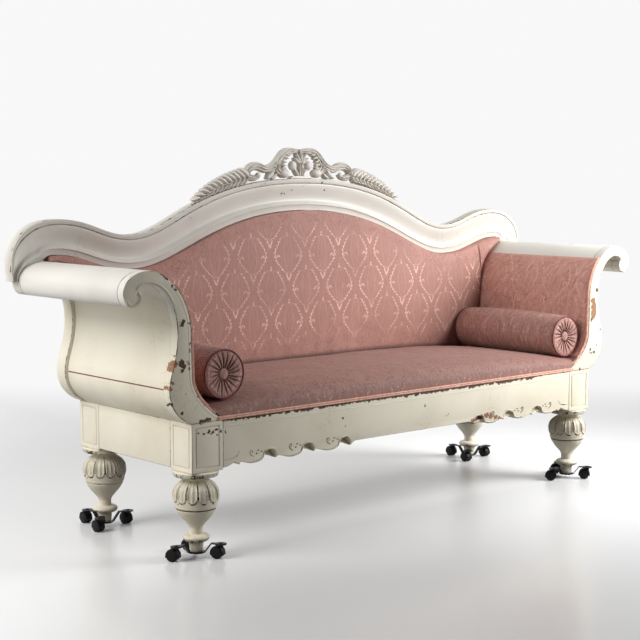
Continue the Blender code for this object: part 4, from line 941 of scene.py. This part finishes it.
def ribbon(points, widths, thick, ribs=1, y=0.0, count=26):
    # a carved leaf or band along a line: ridged across, flat behind
    pts = np.array(evenly(points, count))
    run = np.gradient(pts, axis=0)
    run /= np.linalg.norm(run, axis=1)[:, None]
    side = np.stack([-run[:, 1], run[:, 0]], axis=1)
    t = np.linspace(0, 1, count)
    wide = np.interp(t, [w[0] for w in widths], [w[1] for w in widths]) / 2
    m = 6 * ribs + 5
    s = np.linspace(-1, 1, m)
    ridge = 0.5 * (1 - np.abs(s) ** 2.4) + 0.5 * np.sin(pi * ribs * (s + 1) / 2) ** 2 * (1 - np.abs(s) ** 6)
    taper = np.minimum(1.0, np.minimum(t, 1 - t) / 0.12 + 0.45)
    flat = pts[:, None, :] + (wide[:, None] * s[None, :])[..., None] * side[:, None, :]
    lift = crestY + y - thick * taper[:, None] * ridge[None, :]
    depths = (lift, np.full_like(lift, crestY + y + thick * 0.55))
    grids = [np.stack([flat[..., 0], depth, flat[..., 1]], axis=2).reshape(-1, 3) for depth in depths]
    return shell(*grids, count, m)


def leaf(root, tip, width, thick=0.009, y=0.0, hook=0.0):
    mid = ((root[0] + tip[0]) / 2 - (tip[1] - root[1]) * hook, (root[1] + tip[1]) / 2 + (tip[0] - root[0]) * hook)
    line = []
    for t in np.linspace(0, 1, 12):
        line.append(tuple((1 - t) ** 2 * root[k] + 2 * t * (1 - t) * mid[k] + t * t * tip[k] for k in (0, 1)))
    shares = ((0, 0.45), (0.35, 1.0), (0.7, 0.85), (0.9, 0.45), (1, 0.08))
    return ribbon(line, [(t, width * share) for t, share in shares], thick, 1, y, 14)


def knob(x, z, wide, tall, y):
    turns = np.linspace(-1, 1, 15)
    line = [(x, crestY + y, z + tall * s) for s in turns]
    return sweep(line, [wide * sqrt(max(0.0, 1 - s * s)) + 1e-4 for s in turns], 18, 0.72)


def laurelSpray(sign):
    # paired leaves along a stalk that lies on the frame
    n = crest["laurels"]
    shapes = []
    for i in range(n):
        t = i / (n - 1)
        x = crest["sprayStart"] + crest["sprayLength"] * t
        rising = atan2(frameTop(x + 0.01) - frameTop(x - 0.01), 0.02)
        rootZ = sprayTop(x)
        long, wide = 0.049 - 0.016 * t, 0.0265 - 0.0105 * t
        for lean, share, y, hook in ((0.72 - 0.55 * t ** 5, 1.0, -0.0015, 0.16), (-0.58, 0.62, -0.0005, -0.16)):
            reach = long * min(1.0, share + (1 - share) * t)
            tipX, tipZ = x + reach * cos(rising + lean), rootZ + reach * sin(rising + lean)
            tip = (sign * tipX, max(tipZ, frameTop(tipX) + 0.0015))
            shapes.append(leaf((sign * x, rootZ), tip, wide * share, 0.013, y - 0.0005 * (n - i), sign * hook))
    stalk = [(sign * x, sprayTop(x)) for x in np.linspace(0.205, 0.428, 30)]
    shapes.append(ribbon(stalk, [(0, 0.014), (0.8, 0.008), (1, 0.004)], 0.009, 1, -0.002, 30))
    root, tip = (sign * 0.420, frameTop(0.420) + 0.007), (sign * 0.4495, frameTop(0.4495) + 0.003)
    return shapes + [leaf(root, tip, 0.010, 0.008)]


def buildCrest():
    top = middle[1]
    # big acanthus leaf: from the middle over and down into a band that curls back under
    wing = chain((0.006, 0.0915), out, ((0.078, 0.074), (0.72, -0.69), 12, (0.6, 0.4)))
    for end, arrive, pulls in crest["wing"]:
        way = np.subtract(wing[-1], wing[-2])
        wing += chain(wing[-1], way / hypot(*way), (end, arrive, 10, pulls))[1:]
    # the leaf's inner ribs rise from the curl by the foot
    rise = chain((0.072, 0.012), (0.75, 0.66), ((0.100, 0.040), up, 12, (0.5, 0.5)),
                 ((0.046, 0.084), (-0.9, 0.4), 14, (0.55, 0.5)))
    riseWidths = [(0, 0.026), (0.25, 0.034), (0.55, 0.032), (0.8, 0.020), (1, 0.008)]
    shapes = []
    for sign in (-1, 1):
        def half(points):
            return [(sign * x, top + z) for x, z in points]
        shapes.append(ribbon(half(wing), crest["wingWidths"], 0.013, 3, 0.0, 100))
        shapes.append(ribbon(half(rise), riseWidths, 0.012, 3, -0.001, 44))
        shapes += [knob(sign * x, top + z, *rest) for x, z, *rest in crest["knobs"]]
        shapes += [leaf(*half(ends), 0.0145, 0.010, -0.002) for ends in crest["lobes"]]
        for root, tip, width, thick, y, hook in crest["leaves"]:
            shapes.append(leaf(*half([root, tip]), width, thick, y, sign * hook))
        shapes += laurelSpray(sign)
    for turn, long in crest["palmette"]:
        a = radians(turn)
        root = (0.004 * sin(a), top + 0.050)
        shapes.append(leaf(root, (root[0] + long * sin(a), root[1] + long * cos(a)), 0.020, 0.012, -0.003))
    stem = [(0.0, top + 0.004), (0.0, top + 0.062)]
    shapes.append(ribbon(stem, [(0, 0.030), (0.35, 0.017), (1, 0.020)], 0.012, 2, -0.001, 14))
    # the carving is painted darker and more chipped towards its back: painted shade in its depths
    mesh = mark(joined(shapes, 1e-6), "wearAndShade", lambda p: 0.62 * min(1.0, max(0.0, (p.y - crestY + 0.011) / 0.013)))
    dress("crest_carving_leaves", mesh, upperShadedPaint, ["crest_carving"], smooth=60)
    end = crest["foot"]
    low = [(x, frameTop(x) + gap) for x in np.linspace(end, -end, 9)]
    plinth = [(end - 0.008, top + 0.009), (end - 0.006, top + 0.0045), (end, top + 0.004)]
    plinth = [(-x, z) for x, z in reversed(plinth)] + plinth
    mesh = sawnBoard(plinth + low, crestY - 0.010, crestY + 0.011, 0.001)
    dress("crest_foot", wornEdges(mesh), upperShadedPaint)


buildCrest()
print("crest carved")

# upholstery; mid is how far out the columns are wide
cloth = {"seatHeight": 0.074, "frontEdge": 0.018, "frontRoll": 0.070, "sideFall": 0.036, "rearFall": 0.007,
         "backCrown": 0.028, "backRim": 0.046, "mid": 0.745, "pressure": 4.0, "frames": 20, "mostSwell": 0.006}
rimY = padHigh.y - cloth["backRim"]
seatEnd, seatRearY, seatBottom = seatHigh.x, seatHigh.y, padLow.z


def padLay(n):
    # how far the arm's stuffing stands out, from the seat up to its top
    return [arm["padCrown"] * sin(pi * i / n) ** 0.6 for i in range(n + 1)]


padFace = movedLeft(seatEdge(padEnd), padLay(len(seatEdge()) - 1))
armWalls = [np.array(evenly(line, 1500)) for line in (seatEdge(), padFace + trace(toCrown, 12, padEnd)[1:])]


def armWall(x, ahead=0.0012):
    # the height at which an arm stands in the way
    highest = 0.0
    for wall in armWalls:
        under = wall[:, 1][wall[:, 0] + halfLength <= abs(x) + ahead]
        if len(under):
            highest = max(highest, under.max())
    return max(seatBottom, armBase + highest + 2 * gap)


def bothWays(*runs):
    # columns from the middle out, given as (first, last, count), and the same to the left
    near = [float(x) for run in runs for x in np.linspace(*run)]
    return [-x for x in near[:0:-1]] + near


def ripple(x, z, size, seed):
    return noise.noise(Vector((x / size, z / size, seed)))


def swell(mesh, held, cap):
    # the stuffing pushes the cover out from where it is sewn or nailed down
    scene = bpy.context.scene
    helper = newPiece("swelling", mesh)
    group = helper.vertex_groups.new(name="held")
    for v in mesh.vertices:
        group.add([v.index], held(v.co), "REPLACE")
    sim = helper.modifiers.new("cloth", "CLOTH")
    sim.settings.vertex_group_mass = "held"
    sim.settings.use_pressure, sim.settings.uniform_pressure_force = True, cloth["pressure"]
    sim.settings.effector_weights.gravity = 0.0
    sim.point_cache.frame_start, sim.point_cache.frame_end = 1, cloth["frames"]
    for f in range(1, cloth["frames"] + 1):
        scene.frame_set(f)
    swollen = frozen(helper)
    start, end = np.empty(len(mesh.vertices) * 3), np.empty(len(mesh.vertices) * 3)
    mesh.vertices.foreach_get("co", start)
    swollen.vertices.foreach_get("co", end)
    move = (end - start).reshape(-1, 3)
    size = np.linalg.norm(move, axis=1)
    print("cover moved", round(float(size.max()) * 1000, 1), "mm")
    move *= np.minimum(1.0, cap / np.maximum(size, 1e-9))[:, None]
    mesh.vertices.foreach_set("co", start + move.ravel())
    mesh.update()
    bpy.data.objects.remove(helper)
    scene.frame_set(1)


def buildBackPad():
    limit, mid = padHigh.x, cloth["mid"]
    opening = np.array(openingEdge(5))
    columns = bothWays((0, mid, 60), (0.752, 0.835, 16), (0.8375, 0.846, 8), (0.850, limit, 18))
    spans = [(armWall(x, 0.0030), float(np.interp(abs(x), *opening.T)) - 0.0012) for x in columns]

    def rear(i, share):
        low, high = spans[i]
        return (columns[i], padHigh.y - 0.0005, low + (high - low) * share)

    def face(i, share):
        x, _, z = rear(i, share)
        fullness = sqrt(max(0.0, 1.0 - (x / limit) ** 8) * sin(pi * (0.004 + 0.992 * share)))
        soft = 0.0022 * ripple(x, z, 0.16, 3.1) + 0.0009 * ripple(x, z, 0.045, 7.7)
        pull = 0.0016 * sin(x * 2 * pi / 0.075 + 2.0 * sin(x * 9)) * (1 - share) ** 3
        return (x, rimY - cloth["backCrown"] * fullness * 0.985 + (soft + pull) * fullness, z)

    def tuckShade(p):
        # painted shade where the back goes down behind the seat
        return max(0.0, 0.8 - (p.z - seatTop(p.x, seatRearY)) / 0.016) * (abs(p.x) < 0.75)
    mesh = joined([padMesh(len(columns), 64, face, rear)], 1e-6)
    mark(mesh, "fold", tuckShade)
    mark(mesh, "cloth", lambda p: (p.x + 0.02, p.z - 0.03, 0.0))
    piece = dress("back_upholstery", mesh, backCloth, ["back_pad"], smooth=60)


def seatTop(x, y):
    forward = min(1.0, max(0.0, (y - frontY) / cloth["frontRoll"]))
    roll = sqrt(max(0.0, 1.0 - (1.0 - forward) ** 2))
    across = min(1.0, abs(x) / seatEnd)
    fall = cloth["sideFall"] * across ** 4 + cloth["rearFall"] * ((y - frontY) / (seatRearY - frontY)) ** 3
    return seatBottom + cloth["frontEdge"] + (cloth["seatHeight"] - cloth["frontEdge"] - fall) * roll


def buildSeat():
    columns = bothWays((0, cloth["mid"], 64), (0.752, seatEnd, 14))
    lows = [armWall(x) for x in columns]
    depth, front = seatRearY - frontY, 0.42  # this share of the rows lies over the rolled front
    rolled = cloth["frontRoll"] / depth

    def under(i, share):
        if share < front:
            deep = rolled * (share / front) ** 1.9
        else:
            deep = rolled + (1 - rolled) * (share - front) / (1 - front)
        return (columns[i], frontY + 0.001 + (depth - 0.001) * deep, lows[i])

    def over(i, share):
        x, y, low = under(i, share)
        inside = min(1.0, max(0.0, (y - frontY) / 0.05))
        soft = 0.0020 * ripple(x, y, 0.17, 1.3) + 0.0008 * ripple(x, y, 0.05, 5.2) - 0.0012
        return (x, y, max(seatTop(x, y) + inside * soft, low + 0.003))

    def nailed(p):
        away = min(p.y - frontY - 0.012, seatRearY - 0.012 - p.y, cloth["mid"] - abs(p.x))
        return 1.0 if p.z < seatTop(p.x, p.y) - 0.010 else 1.0 - max(0.0, min(away / 0.05, 1.0))
    mesh = joined([padMesh(len(columns), 60, over, under)], 1e-6)
    swell(mesh, nailed, cloth["mostSwell"])
    mark(mesh, "cloth", lambda p: (p.x, (p.y - frontY) + (p.z - seatBottom), 0.0))
    piece = dress("seat_upholstery", mesh, seatCloth, ["seat_pad"], smooth=60)


def buildArmPads():
    edge = evenly(seatEdge(padEnd), 90)
    n = len(edge) - 1
    y0, y1 = frontY + 0.0035, rearLow.y - gap
    lay, run, heights = padLay(n), lengths(edge), [armBase + p[1] for p in edge]
    for side, sign in sides.items():
        def standOut(i, y, amount):
            (x, z), = atArm([movedLeft(edge[max(0, i - 1):i + 2], amount)[min(i, 1)]], sign)
            return (x, y, z)

        def face(i, share):
            y, t = y0 + (y1 - y0) * share, i / n
            roll = sqrt(max(0.0, 1 - (1 - min(1.0, (y - y0) / 0.016)) ** 2))
            wave = (y + 0.03 * t) * 2 * pi / 0.041 + 3 * ripple(y, t * 0.4, 0.11, 2.0)
            fold = 0.0011 * sin(wave) * sin(pi * t) ** 0.7 + 0.0012 * ripple(y, run[i], 0.06, 9.4)
            return standOut(i, y, 0.0005 + (lay[i] * 0.94 + fold * sin(pi * t) ** 0.5) * roll)

        def rear(i, share):
            y = y0 + (y1 - y0) * share
            return standOut(i, y, 0.0002 if y < scrollHigh.y + gap else -0.010 * min(1.0, 0.15 + 2.2 * i / n))

        def askew(p):
            # the cover was pulled askew, so its threads lean to the front
            along = float(np.interp(p.z, heights, run))
            return (p.y + 0.22 * along, along, 0.0)
        mesh = mark(joined([padMesh(n + 1, 70, face, rear)]), "cloth", askew)
        piece = dress(f"arm_upholstery_{side}", mesh, armCloth, [f"arm_pad_{side}"], smooth=60)


buildBackPad()
buildSeat()
buildArmPads()
print("upholstery laid")

bolster = {"radius": 0.0715, "seam": 0.0672, "belly": 0.009, "fuller": 0.006, "pleats": 20, "button": 0.0155,
           "dish": 0.0075, "cord": 0.0026, "cordTwist": 0.0095, "edge": 0.011, "endDrop": 0.0045, "segments": 240,
           "mostSwell": 0.005}
seeds = {"left": 4.0, "right": 11.0}


def bolsterRows(half, sign, seed):
    # rings from one end to the other: radius, place along, how deep the pleats cut in, and how much shade is painted
    # into its folds
    turns = np.linspace(0, 2 * pi, bolster["segments"], endpoint=False)
    radius, seam, eye, drop = bolster["radius"], bolster["seam"], bolster["button"] * 0.9, bolster["endDrop"]
    # 1 on the side away from seat and arm, 0 where the bolster lies on them
    free = np.array([(0.5 + 0.5 * cos(a - (pi / 2 + sign * pi / 4))) ** 1.4 for a in turns])
    # the drawn-up ends: pleats of uneven depth and length running out from the button
    pleats = []
    for k in range(bolster["pleats"]):
        shift, size, long = (ripple(k * 0.37, seed + j, 0.21, 2.0 + j) for j in range(3))
        pleats.append(((k + 0.28 * shift) * 2 * pi / bolster["pleats"], 0.0048 + 0.0022 * size, 0.98 + 0.42 * long))
    ends, body = [], []
    for t in np.linspace(0.0, 1.0, 18):
        r = eye + (seam - eye) * t
        crease = np.zeros(len(turns))
        for at, deep, long in pleats:
            off = np.abs((turns - at - 0.16 * t + pi) % (2 * pi) - pi) * r
            cut = deep * max(0.0, 1 - (t / long) ** 2)
            crease = np.maximum(crease, cut * np.exp(-(off / (0.0014 + 0.0010 * t)) ** 2))
        ends.append((r, half - bolster["dish"] * (1 - t) ** 1.7 - drop * t ** 5, crease, crease / 0.0034))
    for t in np.linspace(0.0, 1.0, 92)[1:-1]:
        y = half - drop - 2 * (half - drop) * t
        inside = min(1.0, (half - abs(y)) / bolster["edge"])
        r = seam + (radius - 0.0020 - seam) * sqrt(max(0.0, 1 - (1 - inside) ** 2)) + 0.0014 * sin(pi * t)
        near = max(0.0, 1 - (half - abs(y)) / 0.045)
        gathers = near * np.abs(np.sin(turns * 27 + 2 * np.sin(turns * 3 + seed)))
        soft = np.array([ripple(a * radius * 1.4 + y * 0.35, y * 0.55, 0.05, seed) for a in turns])
        r = r + 0.0011 * gathers + bolster["belly"] * sin(pi * t) ** 0.8 * free + 0.0016 * soft * (1 - near)
        body.append((r, y, np.zeros(len(turns)), 0.5 * gathers))
    return turns, ends + body + [(r, -y, -c, f) for r, y, c, f in ends[::-1]]


def buildBolsters():
    radius, seam, button, dish = (bolster[k] for k in ("radius", "seam", "button", "dish"))
    for side, sign in sides.items():
        name = "bolster_" + side
        low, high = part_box(name)
        cx, cy, cz = ((a + b) / 2 for a, b in zip(low, high))
        cx, cz = cx - sign * bolster["fuller"], cz + bolster["fuller"]
        half = (high.y - low.y) / 2
        turns, rows = bolsterRows(half, sign, seeds[side])
        verts, foldShades = [], []
        for r, y, c, f in rows:
            verts += list(zip(cx + r * np.cos(turns), cy + y - c, cz + r * np.sin(turns)))
            foldShades += list(np.minimum(1.0, f))
        mesh = mark(meshOf(verts, tubeFaces(len(rows), len(turns))), "fold", foldShades)
        mesh = cleaned(mesh, merge=1e-7)

        def resting(p):
            # held at the ends, and where it lies on seat and arm
            lean = 0.6 + (sign * (p.x - cx) - (p.z - cz)) / (2 * radius)
            return 1.0 if abs(p.y - cy) > half - 0.010 else min(1.0, max(0.0, lean))

        def flat(p):
            return (p.x - cx, p.z - cz, 0.0)

        def wrapped(p):
            return (p.y, radius * atan2(p.z - cz, p.x - cx), 0.0) if abs(p.y - cy) < half - 0.012 else flat(p)
        swell(mesh, resting, bolster["mostSwell"])
        piece = dress(name + "_cover", mark(mesh, "cloth", wrapped), rollCloth, [name], name, 60)
        # twisted cord round each end seam, and the covered buttons
        cords, buttons = [], []
        for end in (1, -1):
            y, r = cy + end * (half - 0.0042), seam + 0.0006
            ring = [(cx + r * cos(a), y, cz + r * sin(a)) for a in np.linspace(0, 2 * pi, 300, endpoint=False)]
            cords.append(sweep(ring, bolster["cord"], 10, twist=bolster["cordTwist"], closed=True))
            arc = np.linspace(0.02, pi / 2, 10)
            dome = [(button * sin(t), end * (half - dish * 0.95 + button * 0.20 * cos(t))) for t in arc]
            v, f = lathe(dome + [(button * 0.9, end * (half - dish * 1.6))], 40)
            buttons.append(([(cx + x, cy + along, cz + z) for x, z, along in v], f))
        dress(name + "_cord", joined(cords), darkCord, (), name, 80)
        dress(name + "_buttons", mark(joined(buttons, 1e-6), "cloth", flat), rollCloth, (), name, 60)


buildBolsters()

gimp = {"radius": 0.0030, "spacing": 0.0053, "twist": 0.007, "armRadius": 0.00276, "armSpacing": 0.0042}


def buildGimp():
    # double cord along the seat's lower edge and up the front edge of each arm
    reach = seatEnd - 0.030
    cords = []
    for k in (0, 1):
        z = seatBottom + 0.0012 + k * gimp["spacing"]
        line = [(reach * (-1 + 2 * i / 700), frontY - 0.0006, z) for i in range(701)]
        cords.append(sweep(line, gimp["radius"], 9, twist=gimp["twist"]))
    dress("seat_gimp", joined(cords), cordCloth, smooth=80)
    edge = evenly(seatEdge(padEnd), 330)[14:]
    for side, sign in sides.items():
        cords = []
        for k in (0, 1):
            line = movedLeft(edge, 0.0025 + k * gimp["armSpacing"])
            path = [(x, frontY + 0.0032 + k * 0.0008, z) for x, z in atArm(line, sign)]
            cords.append(sweep(path, gimp["armRadius"], 9, twist=gimp["twist"]))
        dress(f"arm_gimp_{side}", joined(cords), cordCloth, smooth=80)


buildGimp()
print("bolsters and trimming done")

# carried-over CAD nodes: softened edges and real finishes
hardware = {"weld": 0.00002, "softEdge": 0.0006, "sharp": radians(38)}
finishes = {"dolly": blackSteel, "castor": blackPlastic, "wheels": blackPlastic,
            "seat_webbing": jute, "back_lining": linen}
for name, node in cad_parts.items():
    kind = name.split("_")[0]
    finish = finishes.get(name) or finishes.get(kind)
    if node.hide_render or finish is None:
        continue
    node.data.materials.clear()
    node.data.materials.append(finish)
    if kind in finishes:
        weld = node.modifiers.new("weld", "WELD")
        weld.merge_threshold = hardware["weld"]
        soft = node.modifiers.new("soft", "BEVEL")
        soft.width, soft.segments = hardware["softEdge"], 2
        soft.limit_method, soft.angle_limit = "ANGLE", hardware["sharp"]
        node.data.shade_smooth()
print("carried-over nodes finished")

# floor, light and camera
view = {"place": (-3.1436, -3.4304, 1.0639), "yaw": 0.7186, "pitch": 0.1009, "focal": 1443.8,
        "pixels": 640, "sensor": 36.0, "fittedFront": -0.2845}  # where the base's front was for that place
# front is painted shade: the floor is painted darker straight in front of the sofa, standing in for its shadow and
# reflection
stage = {"floor": (rgb(240, 240, 240), rgb(236, 236, 237)), "front": rgb(216, 215, 215), "bounce": rgb(148, 148, 148),
         "far": 0.94, "lift": 0.02, "lightBehind": 0.80, "lightFront": 0.10}
white = (1, 1, 1, 1)
# place, aim, size, spread in degrees and watts of each soft light
lights = {"left": ((-3.4, 0.5, 1.4), (-0.9, 0.1, 0.5), 1.6, 180, 18.0),
          "leftHigh": ((-3.2, 0.3, 2.4), (-0.9, 0.1, 0.5), 1.6, 180, 62.0),
          "right": ((1.85, -1.42, 1.52), (0.8, 0.0, 0.6), 1.3, 90, 27.0)}


def buildFloor():
    # a pale floor that fades into a white surround
    mesh = meshOf([(-14, -14, 0), (14, -14, 0), (14, 14, 0), (-14, 14, 0)], [(0, 1, 2, 3)])
    floor = newPiece("studioFloor", mesh)
    mesh.materials.append(startMaterial("studioFloorPaint"))
    shader = tree.nodes["Principled BSDF"]
    spot = add("TexCoord", out="Object")
    patch = grain(spot, 0.9, 2.0)
    seen = add("LightPath", out="Is Camera Ray") | add("LightPath", out="Is Glossy Ray")
    # how far behind the sofa, and how far to either side of it
    a, b = sin(view["yaw"]), cos(view["yaw"])
    deep, wide = vectorMaths("DOT_PRODUCT", spot, (a, b, 0)), abs(vectorMaths("DOT_PRODUCT", spot, (b, -a, 0)))
    near = ramp(deep, -1.2, -0.2)
    pale = mixed(ramp(patch, 0.35, 0.7), *stage["floor"])
    # painted shadow and reflection: darker in a band in front of the sofa
    pale = mixed(ramp(near, 1.0, 0.0) * ramp(wide, 0.9, 0.2), pale, stage["front"])
    put(mixed(seen, stage["bounce"], pale), shader.inputs["Base Color"])
    put(ramp(patch, 0.3, 0.7, 0.20, 0.27), shader.inputs["Roughness"])
    # painted light: the floor glows a little near the sofa and behind it
    glow = add("Emission", {"Color": white, "Strength": near * stage["lift"] * seen})
    lifted = add("AddShader", {0: wire(shader.outputs[0]), 1: glow})
    far = add("Emission", {"Color": white, "Strength": stage["far"]})
    fade = (ramp(wide, 0.9, 2.2) | ramp(abs(deep + 0.25), 1.35, 3.0)) * seen
    put(add("MixShader", {0: fade, 1: lifted, 2: far}), tree.nodes["Material Output"].inputs[0])


def buildLights():
    # soft light from behind, white where the camera sees past the floor, and three lamps
    bpy.context.scene.world = startTree(bpy.data.worlds.new("studio"))
    tree.nodes.clear()
    _, way, _ = split(add("TexCoord", out="Generated"))
    level = ramp(way, -0.5, 0.7, stage["lightFront"], stage["lightBehind"])
    soft = add("Background", {"Color": white, "Strength": level})
    far = add("Background", {"Color": white, "Strength": stage["far"]})
    mix = add("MixShader", {0: add("LightPath", out="Is Camera Ray"), 1: soft, 2: far})
    put(mix, tree.nodes.new("ShaderNodeOutputWorld").inputs[0])
    for name, (place, aim, size, spread, watts) in lights.items():
        data = bpy.data.lights.new(name, "AREA")
        data.size, data.spread, data.energy = size, radians(spread), watts
        lamp = newPiece(name, data)
        lamp.location = place
        lamp.rotation_euler = (Vector(aim) - Vector(place)).to_track_quat("-Z", "Y").to_euler()
        lamp.visible_camera = False


buildFloor()
buildLights()

camera = bpy.data.cameras.new("camera")
camera.sensor_width, camera.lens = view["sensor"], view["focal"] / view["pixels"] * view["sensor"]
eye = newPiece("camera", camera)
level = cos(view["pitch"])
look = Vector((sin(view["yaw"]) * level, cos(view["yaw"]) * level, -sin(view["pitch"])))
eye.location = Vector(view["place"]) + Vector((0, frontY - view["fittedFront"], 0))
eye.rotation_euler = look.to_track_quat("-Z", "Y").to_euler()
bpy.context.scene.camera = eye
bpy.context.scene.view_settings.view_transform = "Standard"
print("stage set")
